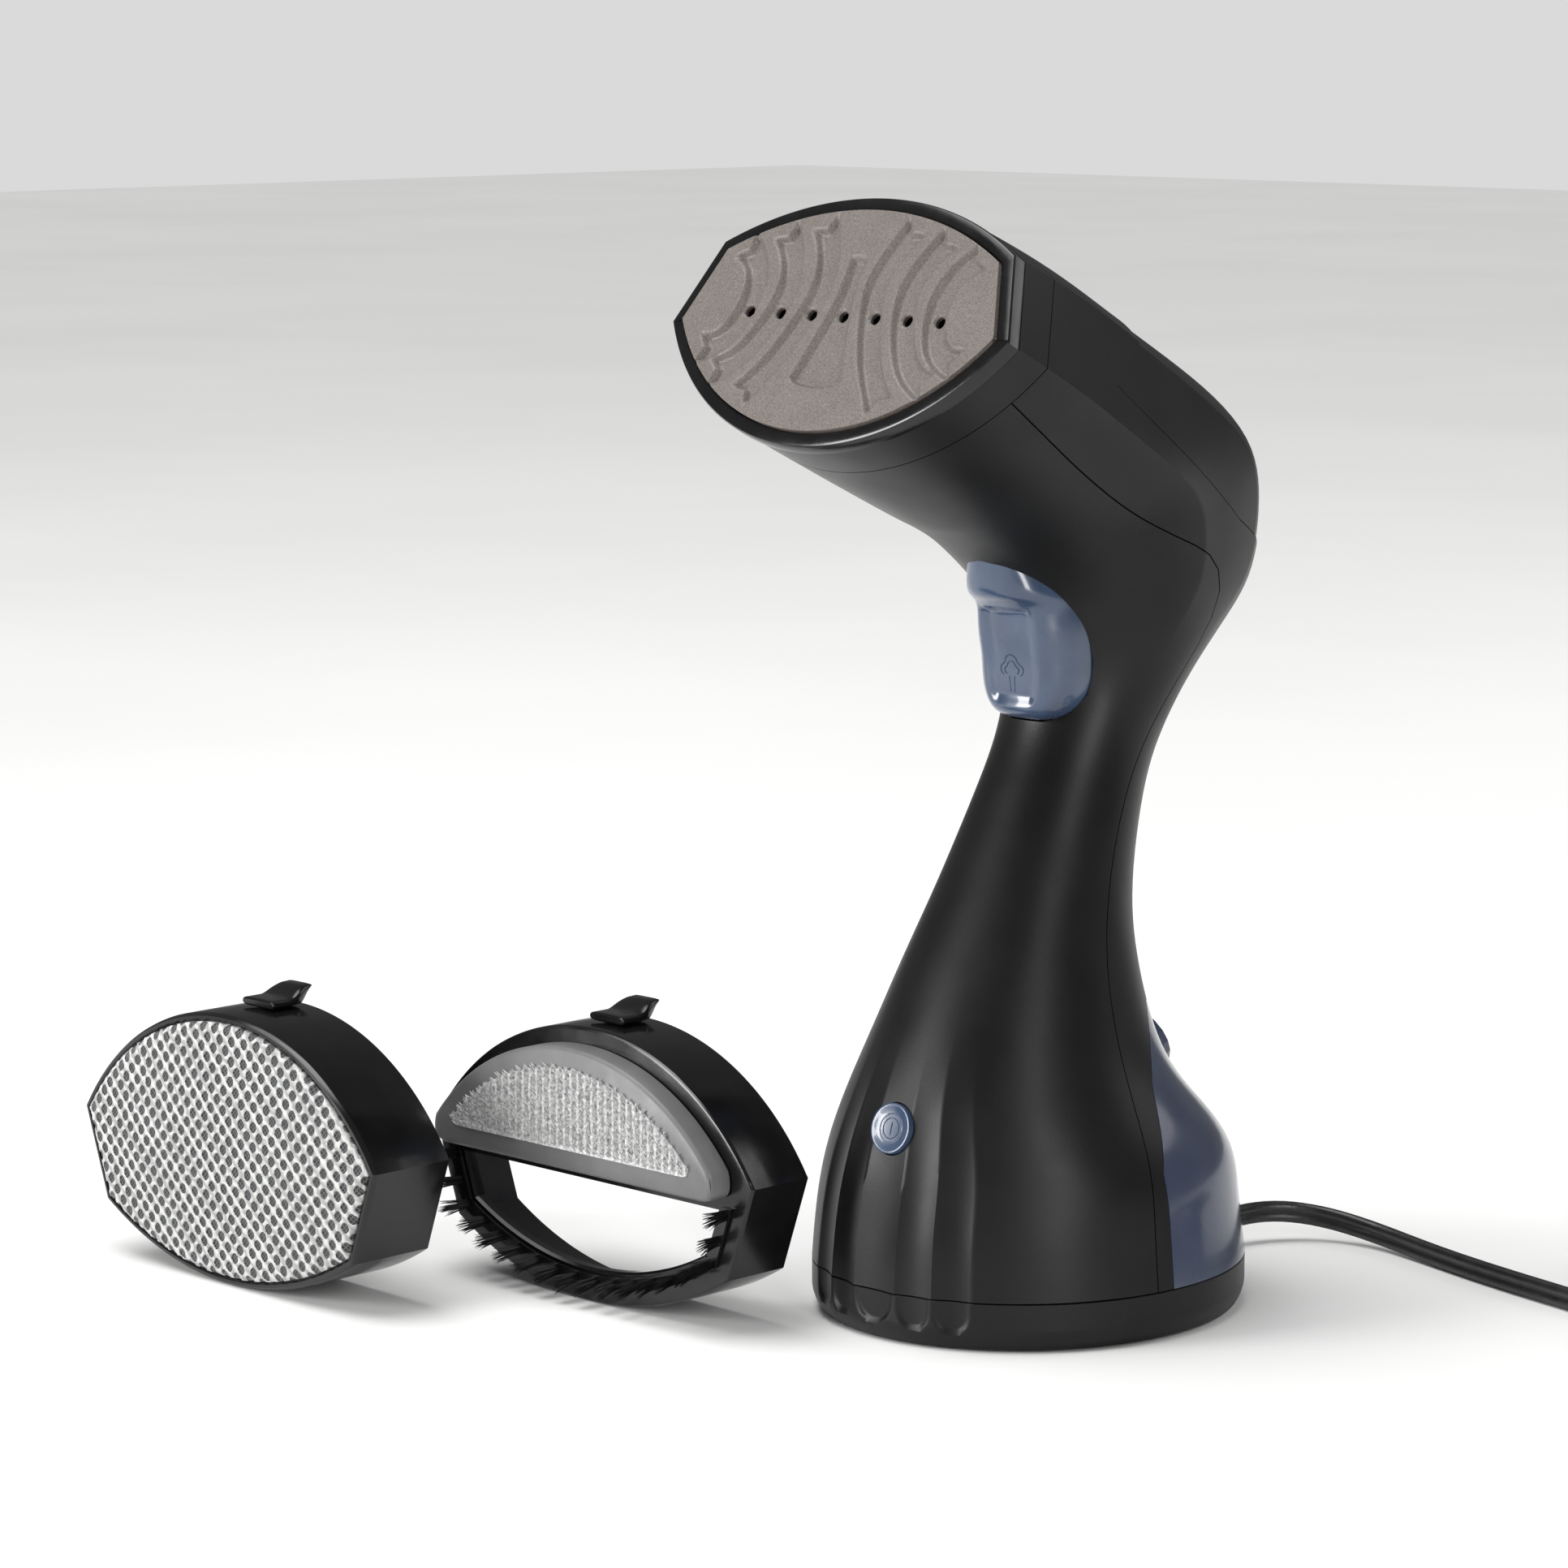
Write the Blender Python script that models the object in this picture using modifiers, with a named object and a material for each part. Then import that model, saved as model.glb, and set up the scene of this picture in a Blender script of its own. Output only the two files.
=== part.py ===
"""Handheld garment steamer: upright body, steam head, water tank, trigger, mains lead and two clip-on heads.

Sizes are in millimetres in this file and are scaled to metres when a mesh is made.
The origin is on the floor under the middle of the base. The steam plate faces -Y, +Z is up.
"""
import math

import bmesh
import bpy
import numpy as np
from mathutils import Matrix, Vector

MM = 0.001

# ---- driving dimensions, mm ------------------------------------------------------------------------------
WALL = 2.4                     # moulded shell thickness
GAP = 0.3                      # seam between two pieces that touch
FIT = 0.5                      # running clearance round a moving button or trigger

BASE_HALF_WIDTH = 51.3         # base ellipse, across
BASE_FRONT = 55.3              # base ellipse, reach to the front
BASE_REAR = 56.7               # base ellipse, reach to the rear
RING_TOP = 12.2                # top edge of the base ring
RING_BOTTOM = 0.6
RING_WALL = 4.5
RING_FOOT_INSET = 2.0          # how far the ring draws in at its foot
DECK_THICKNESS = 2.7           # ledge in the ring that carries the tank
SCREW_INSET = 9.0              # from the base outline to a screw
SCREW_TURN = math.radians(118) # round the base, from the front screw to a rear one

HEAD_TILT = math.radians(28.4)  # the steam plate looks this far below the horizon
PLATE_CENTRE = (-66.7, 246.2)  # y, z of the middle steam hole
HEAD_HALF_WIDTH = 54.2         # at the side corners
HEAD_CORNER_V = -4.2           # height of the side corners on the plate
HEAD_SHOULDER_HALF_WIDTH = 0.86 * HEAD_HALF_WIDTH
HEAD_SHOULDER_V = 17.4
HEAD_TOP_V = 30.4
HEAD_BOTTOM_V = -33.4
BEZEL_WIDTH = 3.4              # black rim round the plate
BEZEL_DEPTH = 4.0
PLATE_THICKNESS = 3.0
PLATE_PROUD = 0.8              # the plate stands this far out of the rim
COLLAR_END = 16.0              # depth at which the nose collar meets the shells

HOLE_COUNT = 7
HOLE_PITCH = 10.2
HOLE_RADIUS = 1.7
CHANNEL_WIDTH = 4.4
CHANNEL_DEPTH = 1.1
CHANNEL_LINES = (              # u, v along the three channels on one side
    ((15.4, 22.0), (9.8, 13.5), (8.6, 7.0), (10.0, 0.0), (12.4, -6.5), (16.0, -13.5), (22.0, -21.4)),
    ((26.0, 19.6), (21.2, 12.8), (19.5, 6.5), (20.4, 0.0), (23.2, -6.7), (27.4, -12.5), (34.6, -16.6)),
    ((37.2, 15.2), (32.6, 11.6), (30.3, 6.2), (30.4, 0.0), (32.0, -4.6), (34.8, -8.2), (41.0, -10.8)),
)
FUNNEL = (                     # v, half width down the middle channel
    (15.4, 2.4), (11.0, 2.2), (5.0, 2.2), (-3.0, 3.8), (-10.0, 5.7), (-16.5, 7.8), (-19.6, 8.6))

BUTTON_PLACE = (-48.5, 50.9)   # y, z of the power button's middle on the shell
BUTTON_TILT = math.radians(16) # the shell leans back by this much there
BUTTON_RADIUS = 6.2
TRIGGER_PIVOT = (-4.0, 192.0)  # y, z of the trigger's pin
TRIGGER_PIN_RADIUS = 1.5
BRACKET_HALF_WIDTH = 11.5

TANK_WALL = 2.0
TANK_BOTTOM = 12.5
TANK_TOP = 76.5
FILLER_SLOPE = ((38.3, 55.5), (30.2, 70.0))   # y, z of the slope that carries the filler
FILLER_RADIUS = 7.0
FILLER_BOSS_RADIUS = 10.0

VALVE_PLACE = (-10.0, 19.5)    # x, z of the tank's outlet valve

PUMP_RADIUS = 11.0
PUMP_LENGTH = 38.0
PUMP_BORE = 3.5
PUMP_Y = -24.0
PLATE_TOP = 3.4                # top of the base plate
PUMP_Z = PLATE_TOP + GAP + PUMP_RADIUS + 1.5
HOSE_RADIUS = 2.2

CORD_RADIUS = 2.8              # round stand-in for the flat twin flex
CORD_EXIT_HEIGHT = 6.6
RELIEF_END = 73.0              # y of the strain relief's tip
RELIEF_NECK_RADIUS = 2.6       # where it passes through the ring
COIL_CENTRE = (150.0, 118.0)
COIL_INNER = 27.0              # the stored turns, as one ring
COIL_OUTER = 42.0
COIL_HEIGHT = 12.0
PLUG_LENGTH = 34.0
PLUG_HALF_WIDTH = 12.0
PLUG_HEIGHT = 13.0
PLUG_FRONT = 109.0             # x of the plug's blade face
PLUG_Y = 144.0
BLADE_HALF_PITCH = 6.35        # two flat blades, 12.7 apart

SKIRT_WALL = 2.0               # clip-on heads
SKIRT_FIT = 0.6
SKIRT_DEPTH = 16.0
PAD_PLACE = (-151.0, -123.0)   # x, y where the fabric head stands
BRUSH_PLACE = (-75.0, -75.0)   # x, y where the brush head stands

RING_POINTS = 36               # points round one section of the body
SPAN_STEPS = 2                 # sections between two stations

# Side view of the body, foot to nose: front point (y, z), rear point (y, z), half width,
# how far along the section its widest place is, and how much it has the head's outline.
STATIONS = (
    ((-BASE_FRONT, RING_TOP + GAP), (BASE_REAR, RING_TOP + GAP), BASE_HALF_WIDTH, 0.5, 0.0),
    ((1.3 - BASE_FRONT, 27.0), (BASE_REAR - 1.9, 27.0), 0.973 * BASE_HALF_WIDTH, 0.5, 0.0),
    ((4.1 - BASE_FRONT, 41.0), (BASE_REAR - 5.5, 41.0), 0.92 * BASE_HALF_WIDTH, 0.5, 0.0),
    ((8.2 - BASE_FRONT, 55.5), FILLER_SLOPE[0], 0.778 * BASE_HALF_WIDTH, 0.5, 0.0),
    ((14.1 - BASE_FRONT, 70.0), FILLER_SLOPE[1], 0.649 * BASE_HALF_WIDTH, 0.5, 0.0),
    ((-32.6, 87.5), (26.5, 87.5), 27.6, 0.5, 0.0),
    ((-22.8, 105.0), (26.8, 105.0), 23.2, 0.5, 0.0),
    ((-11.0, 126.0), (32.0, 126.0), 20.1, 0.5, 0.0),
    ((-3.4, 141.0), (39.2, 141.0), 19.6, 0.5, 0.0),
    ((0.0, 155.0), (49.6, 155.0), 21.8, 0.5, 0.0),
    ((-3.0, 168.0), (61.0, 168.0), 26.0, 0.52, 0.1),
    ((-10.0, 178.0), (65.5, 181.0), 32.0, 0.58, 0.3),
    ((-19.0, 185.5), (64.5, 200.0), 37.5, 0.6, 0.5),
    ((-25.0, 189.4), (57.0, 216.5), 41.0, 0.58, 0.7),
    ((-31.0, 192.4), (35.0, 232.0), 0.812 * HEAD_HALF_WIDTH, 0.54, 0.85),
    ((-37.4, 195.2), (2.7, 248.5), 0.867 * HEAD_HALF_WIDTH, 0.48, 1.0),
    ((-55.5, 203.8), (-24.4, 261.5), 0.941 * HEAD_HALF_WIDTH, 0.458, 1.0),
    ((-79.0, 215.3), (-48.7, 271.1), HEAD_HALF_WIDTH, 0.458, 1.0),
)

# Side view of the seam between the front and the rear shell, foot to nose.
SEAM = ((-9.0, 5.0), (-9.0, 12.5), (-8.0, 40.0), (-5.5, 60.0), (-3.0, 84.0), (3.0, 105.0), (12.0, 126.0),
        (21.0, 141.0), (31.0, 155.0), (37.0, 167.0), (32.0, 181.0), (15.0, 190.5), (-10.0, 201.5),
        (-40.0, 217.5), (-62.0, 230.0), (-110.0, 257.0))

# Side view of the tank's front wall, foot to top.
TANK_FRONT = ((-3.8, TANK_BOTTOM), (-3.8, 40.0), (3.6, 59.0), (16.0, TANK_TOP))

# Side view of the top cover, cut out of the rear shell.
COVER = ((-22.0, 230.0), (36.0, 193.5), (90.0, 168.0), (90.0, 300.0), (87.0, 300.0), (2.2, 245.5))

# The free lead, from the strain relief to the coil.
CORD_ROUTE = ((0.0, RELIEF_END + 2.0 * GAP, CORD_EXIT_HEIGHT), (0.6, 80.0, 7.3), (5.3, 91.0, 7.6),
              (14.5, 98.6, 6.3), (27.0, 101.6, 4.4), (45.0, 98.8, 3.2), (70.0, 92.2, 3.0), (95.0, 86.8, 3.0),
              (115.0, 82.4, 3.0), (134.75, 76.1, 3.0))


# ---- geometry helpers ------------------------------------------------------------------------------------
def spline(points, count, by_length=False):
    """Points on a natural cubic spline through the given rows, evenly spaced by row number or by length."""
    rows = np.array(points, dtype=float)
    n = len(rows)
    steps = np.ones(n - 1)
    if by_length:
        steps = np.linalg.norm(np.diff(rows, axis=0), axis=1)
    knots = np.concatenate(((0.0,), np.cumsum(steps)))
    system = np.eye(n)
    right = np.zeros_like(rows)
    slopes = np.diff(rows, axis=0) / steps[:, None]
    for i in range(1, n - 1):
        system[i, i - 1:i + 2] = (steps[i - 1], 2.0 * (steps[i - 1] + steps[i]), steps[i])
        right[i] = 6.0 * (slopes[i] - slopes[i - 1])
    bend = np.linalg.solve(system, right)
    out = []
    for place in np.linspace(0.0, knots[-1], count):
        i = min(int(np.searchsorted(knots, place, side="right")) - 1, n - 2)
        h = steps[i]
        t = (place - knots[i]) / h
        s = 1.0 - t
        curve = ((s ** 3 - s) * bend[i] + (t ** 3 - t) * bend[i + 1]) * h * h / 6.0
        out.append(s * rows[i] + t * rows[i + 1] + curve)
    return np.array(out)


def head_outline(offset=0.0, points=RING_POINTS):
    """The head's outline as (u, v) rows from the bottom, turning towards +u, moved out by offset."""
    corner = np.array((HEAD_HALF_WIDTH, HEAD_CORNER_V))
    shoulder = np.array((HEAD_SHOULDER_HALF_WIDTH, HEAD_SHOULDER_V))
    half = points // 2
    first = round(half * 8 / 18)
    last = round(half * 11 / 18)
    rows = []
    for i in range(half + 1):
        if i <= first:
            rows.append(arc_point((0.0, HEAD_BOTTOM_V), corner, i / first))
        elif i < last:
            share = (i - first) / (last - first)
            rows.append(corner + (shoulder - corner) * share)
        else:
            rows.append(arc_point((0.0, HEAD_TOP_V), shoulder, 1.0 - (i - last) / (half - last)))
    rows = np.array(rows)
    ring = np.concatenate((rows, rows[-2:0:-1] * (-1.0, 1.0)))
    before = np.roll(ring, 1, axis=0)
    after = np.roll(ring, -1, axis=0)
    into = (ring - before) / np.linalg.norm(ring - before, axis=1)[:, None]
    out_of = (after - ring) / np.linalg.norm(after - ring, axis=1)[:, None]
    mean = into + out_of
    mean /= np.linalg.norm(mean, axis=1)[:, None]
    normal = np.stack((mean[:, 1], -mean[:, 0]), axis=1)
    stretch = 1.0 / (mean * into).sum(axis=1)
    return ring + normal * (offset * stretch)[:, None]


def arc_point(crown, end, share):
    """A point on the circle arc from crown, which lies on the centre line, to end."""
    drop = crown[1] - end[1]
    radius = (end[0] ** 2 + drop ** 2) / (2.0 * abs(drop))
    sweep = math.asin(end[0] / radius) * share
    side = math.copysign(1.0, drop)
    return np.array((radius * math.sin(sweep), crown[1] - side * radius * (1.0 - math.cos(sweep))))


def head_point(u, v, depth):
    """World place of a point on the head: u across, v up the plate, depth behind the plate."""
    c = math.cos(HEAD_TILT)
    s = math.sin(HEAD_TILT)
    return (u, PLATE_CENTRE[0] + depth * c + v * s, PLATE_CENTRE[1] - depth * s + v * c)


def body_section(station, inset=0.0):
    """One section of the body, drawn in by inset, as world points from the front point round +X."""
    front_y, front_z, rear_y, rear_z, half_width, widest, headness = station
    front = np.array((front_y, front_z))
    rear = np.array((rear_y, rear_z))
    length = np.linalg.norm(rear - front)
    along = (rear - front) / length
    front = front + along * inset
    length -= 2.0 * inset
    half_width -= inset
    outline = head_outline()
    height = HEAD_TOP_V - HEAD_BOTTOM_V
    ring = []
    for i, (u, v) in enumerate(outline):
        turn = 2.0 * math.pi * i / RING_POINTS
        fall = -math.cos(turn)
        round_place = widest * (1.0 + fall) if fall < 0.0 else widest + (1.0 - widest) * fall
        across = (1.0 - headness) * math.sin(turn) + headness * u / HEAD_HALF_WIDTH
        place = (1.0 - headness) * round_place + headness * (v - HEAD_BOTTOM_V) / height
        y, z = front + along * place * length
        ring.append((across * half_width, y, z))
    return np.array(ring)


def body_rings(inset=0.0, extend=0.0):
    """All sections of the body from foot to nose; extend lengthens both ends."""
    rows = [(*front, *rear, *rest) for front, rear, *rest in STATIONS]
    stations = spline(rows, (len(rows) - 1) * SPAN_STEPS + 1)
    rings = [body_section(station, inset) for station in stations]
    if extend:
        rings[0] = rings[0] - (0.0, 0.0, extend)
        rings[-1] = rings[-1] + (0.0, -extend * math.cos(HEAD_TILT), extend * math.sin(HEAD_TILT))
    return rings


def strip(curve, near, far):
    """Outline of a band beside a side-view curve, between two distances to its left."""
    line = np.array(curve)
    step = np.gradient(line, axis=0)
    step /= np.linalg.norm(step, axis=1)[:, None]
    left = np.stack((-step[:, 1], step[:, 0]), axis=1)
    return [tuple(p) for p in line + left * near] + [tuple(p) for p in (line + left * far)[::-1]]


# ---- object helpers --------------------------------------------------------------------------------------
def clear_scene():
    for old in list(bpy.data.objects):
        bpy.data.objects.remove(old, do_unlink=True)


def make_collection(name):
    collection = bpy.data.collections.new(name)
    bpy.context.scene.collection.children.link(collection)
    return collection


def finish_mesh(name, bm, collection, material=None, origin=(0.0, 0.0, 0.0), turn=None):
    """Turn a bmesh in millimetres into an object whose own origin is at the given place."""
    bmesh.ops.recalc_face_normals(bm, faces=bm.faces)
    if turn is not None:
        bm.transform(turn)
    bm.transform(Matrix.Scale(MM, 4) @ Matrix.Translation(-Vector(origin)))
    mesh = bpy.data.meshes.new(name)
    bm.to_mesh(mesh)
    bm.free()
    mesh.shade_smooth()
    mesh.set_sharp_from_angle(angle=math.radians(30))
    obj = bpy.data.objects.new(name, mesh)
    obj.location = Vector(origin) * MM
    collection.objects.link(obj)
    if material is not None:
        mesh.materials.append(material)
    if collection is CUTTERS:
        obj.hide_render = True
        obj.display_type = "WIRE"
    return obj


def loft(name, rings, collection, material=None, **place):
    """A closed body through rings with equal numbers of points."""
    bm = bmesh.new()
    loops = [[bm.verts.new(p) for p in ring] for ring in rings]
    for lower, upper in zip(loops, loops[1:]):
        for i in range(len(lower)):
            j = (i + 1) % len(lower)
            bm.faces.new((lower[i], lower[j], upper[j], upper[i]))
    bm.faces.new(loops[0][::-1])
    bm.faces.new(loops[-1])
    return finish_mesh(name, bm, collection, material, **place)


def prism(name, outline, half_width, collection, material=None, middle=0.0, **place):
    """A side-view outline (y, z) made as thick as twice half_width along X."""
    bm = bmesh.new()
    face = bm.faces.new([bm.verts.new((middle - half_width, y, z)) for y, z in outline])
    grown = bmesh.ops.extrude_face_region(bm, geom=[face])
    moved = [item for item in grown["geom"] if isinstance(item, bmesh.types.BMVert)]
    bmesh.ops.translate(bm, verts=moved, vec=(2.0 * half_width, 0.0, 0.0))
    return finish_mesh(name, bm, collection, material, **place)


def box(name, low, high, collection, material=None, **place):
    bm = bmesh.new()
    size = Vector(high) - Vector(low)
    centre = (Vector(high) + Vector(low)) / 2.0
    bmesh.ops.create_cube(bm, size=1.0, matrix=Matrix.Translation(centre) @ Matrix.Diagonal((*size, 1.0)))
    return finish_mesh(name, bm, collection, material, **place)


def rod_into(bm, start, end, radius, end_radius=None, segments=20):
    start = Vector(start)
    axis = Vector(end) - start
    spin = axis.to_track_quat("Z", "Y").to_matrix().to_4x4()
    middle = Matrix.Translation(start + axis / 2.0)
    far = radius if end_radius is None else end_radius
    bmesh.ops.create_cone(bm, cap_ends=True, segments=segments, radius1=radius, radius2=far,
                          depth=axis.length, matrix=middle @ spin)


def rod(name, start, end, radius, collection, material=None, end_radius=None, segments=20, **place):
    """A cylinder or a cone between two places."""
    bm = bmesh.new()
    rod_into(bm, start, end, radius, end_radius, segments)
    return finish_mesh(name, bm, collection, material, **place)


def outline_body(name, offset, near, far, collection, material=None, turn=None, point=head_point, **place):
    """The head's outline, moved out by offset, between two depths."""
    rings = [[point(u, v, depth) for u, v in head_outline(offset)] for depth in (near, far)]
    return loft(name, rings, collection, material, turn=turn, **place)


def tube(name, points, radius, collection, material, resolution=2):
    """A round tube along a list of places."""
    curve = bpy.data.curves.new(name, "CURVE")
    curve.dimensions = "3D"
    curve.bevel_depth = radius * MM
    curve.bevel_resolution = resolution
    curve.use_fill_caps = True
    line = curve.splines.new("POLY")
    line.points.add(len(points) - 1)
    for knot, place in zip(line.points, points):
        knot.co = (*(Vector(place) * MM), 1.0)
    obj = bpy.data.objects.new(name, curve)
    collection.objects.link(obj)
    curve.materials.append(material)
    return obj


def combine(target, tool, operation="DIFFERENCE"):
    modifier = target.modifiers.new(tool.name, "BOOLEAN")
    modifier.operation = operation
    modifier.solver = "EXACT"
    modifier.object = tool


def cut_with(target, *tools):
    for tool in tools:
        combine(target, tool)


def keep_inside(target, *tools):
    for tool in tools:
        combine(target, tool, "INTERSECT")


def join_with(target, *tools):
    for tool in tools:
        combine(target, tool, "UNION")


def soften(obj, width):
    bevel = obj.modifiers.new("soft edges", "BEVEL")
    bevel.width = width * MM
    bevel.segments = 1
    bevel.limit_method = "ANGLE"
    bevel.angle_limit = math.radians(50)


def paint(name, colour, roughness, metallic=0.0, alpha=1.0):
    material = bpy.data.materials.new(name)
    material.use_nodes = True
    shader = material.node_tree.nodes["Principled BSDF"]
    shader.inputs["Base Color"].default_value = (*colour, 1.0)
    shader.inputs["Roughness"].default_value = roughness
    shader.inputs["Metallic"].default_value = metallic
    shader.inputs["Alpha"].default_value = alpha
    material.diffuse_color = (*colour, alpha)
    return material


def pivot(name, place, *pieces):
    """An empty on a joint's axis that carries the pieces that move with it."""
    empty = bpy.data.objects.new(name, None)
    empty.location = Vector(place) * MM
    PARTS.objects.link(empty)
    for piece in pieces:
        piece.parent = empty
        piece.matrix_parent_inverse = Matrix.Translation(-Vector(place) * MM)


# ---- shared cutting tools --------------------------------------------------------------------------------
def make_tools():
    seam = spline(SEAM, 40)
    tools = {
        "hollow": loft("hollow", body_rings(WALL, 8.0), CUTTERS),
        "lining": loft("lining", body_rings(WALL + GAP, 8.0), CUTTERS),
        "front_side": prism("front_side", strip(seam, GAP / 2, GAP / 2 + 1.0)[:40]
                            + [(-130.0, 257.0), (-130.0, 5.0)], 70.0, CUTTERS),
        "rear_side": prism("rear_side", strip(seam, -GAP / 2, 0.0)[:40]
                           + [(-130.0, 300.0), (120.0, 300.0), (120.0, 5.0)], 70.0, CUTTERS),
        "nose_block": outline_body("nose_block", 12.0, -20.0, COLLAR_END + GAP, CUTTERS),
        "tank_block": prism("tank_block", list(strip(TANK_FRONT, GAP, 0.0)[:4])
                            + [(90.0, TANK_TOP + GAP), (90.0, 0.0), (TANK_FRONT[0][0] - GAP, 0.0)],
                            60.0, CUTTERS),
        "cover_hole": prism("cover_hole", COVER, 70.0, CUTTERS),
    }
    return tools


# ---- shells ----------------------------------------------------------------------------------------------
def make_shells(tools, black):
    rings = body_rings()
    collar = loft("nose_collar", rings, PARTS, black)
    cut_with(collar, tools["hollow"])
    keep_inside(collar, outline_body("collar_block", 12.0, BEZEL_DEPTH + GAP, COLLAR_END, CUTTERS))

    front = loft("front_shell", rings, PARTS, black)
    cut_with(front, tools["hollow"])
    keep_inside(front, tools["front_side"])
    cut_with(front, tools["nose_block"], trigger_body("trigger_hole", FIT, CUTTERS))
    cut_with(front, rod("button_hole", button_point(20.0), button_point(-8.0), BUTTON_RADIUS + GAP, CUTTERS,
                        segments=28))

    rear = loft("rear_shell", rings, PARTS, black)
    cut_with(rear, tools["hollow"])
    keep_inside(rear, tools["rear_side"])
    cut_with(rear, tools["nose_block"], tools["cover_hole"], tools["tank_block"])

    centre = np.mean(np.array(COVER), axis=0)
    shrunk = [tuple(centre + (np.array(p) - centre) * (1.0 - 2.0 * GAP / 60.0)) for p in COVER]
    cover = loft("top_cover", rings, PARTS, black)
    cut_with(cover, tools["hollow"])
    keep_inside(cover, prism("cover_block", shrunk, 70.0, CUTTERS))


# ---- steam head ------------------------------------------------------------------------------------------
def make_steam_head(black, ceramic, rubber, cast, steel, white):
    bezel = outline_body("plate_bezel", 0.0, 0.0, BEZEL_DEPTH, PARTS, black)
    cut_with(bezel, outline_body("plate_hole", -BEZEL_WIDTH, -5.0, 10.0, CUTTERS))

    plate = outline_body("steam_plate", -BEZEL_WIDTH - GAP, -PLATE_PROUD, PLATE_THICKNESS - PLATE_PROUD,
                         PARTS, ceramic)
    holes = bmesh.new()
    middle = (HOLE_COUNT - 1) / 2.0
    for i in range(HOLE_COUNT):
        u = (i - middle) * HOLE_PITCH
        rod_into(holes, head_point(u, 0.0, -3.0), head_point(u, 0.0, 6.0), HOLE_RADIUS, segments=12)
    cut_with(plate, finish_mesh("steam_holes", holes, CUTTERS), make_channels())

    back = PLATE_THICKNESS - PLATE_PROUD
    seal = outline_body("plate_seal", -BEZEL_WIDTH - 1.0, back + GAP, back + GAP + 1.8, PARTS, rubber)
    cut_with(seal, outline_body("seal_hole", -BEZEL_WIDTH - 5.0, 0.0, 10.0, CUTTERS))

    start = back + 1.8 + 2.0 * GAP
    heater = outline_body("heater_block", -BEZEL_WIDTH - 1.0, start, start + 12.0, PARTS, cast)
    cut_with(heater, outline_body("steam_chamber", -12.0, start - 5.0, start + 7.0, CUTTERS))

    end = start + 12.0
    lid = outline_body("heater_cover", -BEZEL_WIDTH - 2.6, end + GAP, end + 2.3, PARTS, steel)
    cut_with(lid, rod("inlet_hole", head_point(9.0, 0.0, 10.0), head_point(9.0, 0.0, 30.0), HOSE_RADIUS + 1.2,
                      CUTTERS))
    spout = rod("inlet_spout", head_point(9.0, 0.0, end - 3.0), head_point(9.0, 0.0, end + 6.0),
                HOSE_RADIUS + 0.6, CUTTERS)
    join_with(heater, spout)

    on_cover = end + 2.3 + GAP
    rod("thermostat", head_point(-16.0, 2.0, on_cover), head_point(-16.0, 2.0, on_cover + 9.0), 7.5,
        PARTS, steel)
    rod("thermal_fuse", head_point(-38.0, -8.0, on_cover + 1.8), head_point(-38.0, 8.0, on_cover + 1.8),
        1.8, PARTS, white, segments=12)
    return end


def make_channels():
    """Shallow grooves in the plate: three bowed ones on each side and a funnel in the middle."""
    bm = bmesh.new()
    for side in (-1.0, 1.0):
        for line in CHANNEL_LINES:
            path = spline([(side * u, v) for u, v in line], 12)
            groove(bm, path, (CHANNEL_WIDTH / 2.0,) * 12)
    groove(bm, [(0.0, v) for v, _ in FUNNEL], [half for _, half in FUNNEL])
    return finish_mesh("channels", bm, CUTTERS)


def groove(bm, path, half_widths):
    """A flat-floored ribbon that follows a path on the plate and dips to the channel depth."""
    step = np.gradient(np.array(path), axis=0)
    step /= np.linalg.norm(step, axis=1)[:, None]
    floor = CHANNEL_DEPTH - PLATE_PROUD
    loops = []
    for (u, v), (du, dv), half in zip(path, step, half_widths):
        left = (u - dv * half, v + du * half)
        right = (u + dv * half, v - du * half)
        corners = (head_point(*left, floor), head_point(*right, floor),
                   head_point(*right, -4.0), head_point(*left, -4.0))
        loops.append([bm.verts.new(p) for p in corners])
    for lower, upper in zip(loops, loops[1:]):
        for i in range(4):
            bm.faces.new((lower[i], lower[(i + 1) % 4], upper[(i + 1) % 4], upper[i]))
    bm.faces.new(loops[0][::-1])
    bm.faces.new(loops[-1])


# ---- trigger, its pin, bracket, spring and switch --------------------------------------------------------
def trigger_body(name, grow, collection, material=None, **place):
    """The finger paddle: D-shaped sections, each (z, half width, front y, back y)."""
    sections = ((145.5, 6.0, -2.5, 5.0), (147.5, 10.4, -6.4, 7.0), (152.0, 13.2, -8.1, 9.0),
                (160.0, 14.4, -9.0, 11.0), (168.0, 14.8, -10.6, 12.0), (174.0, 14.3, -12.4, 12.0),
                (176.5, 13.8, -15.6, 11.0), (181.0, 12.4, -17.2, 9.0), (186.5, 9.6, -18.6, 6.0))
    rings = []
    for number, (z, half, front, back) in enumerate(sections):
        if number == 0:
            z -= grow
        if number == len(sections) - 1:
            z += grow
        half += grow
        front -= grow
        back += 2.0 * grow
        shoulder = back - 4.0
        ring = [(-half, back, z), (-half, shoulder, z)]
        for i in range(1, 12):
            turn = math.pi * i / 12.0
            ring.append((-half * math.cos(turn), shoulder + (front - shoulder) * math.sin(turn), z))
        ring += [(half, shoulder, z), (half, back, z)]
        rings.append(ring)
    return loft(name, rings, collection, material, **place)


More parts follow.
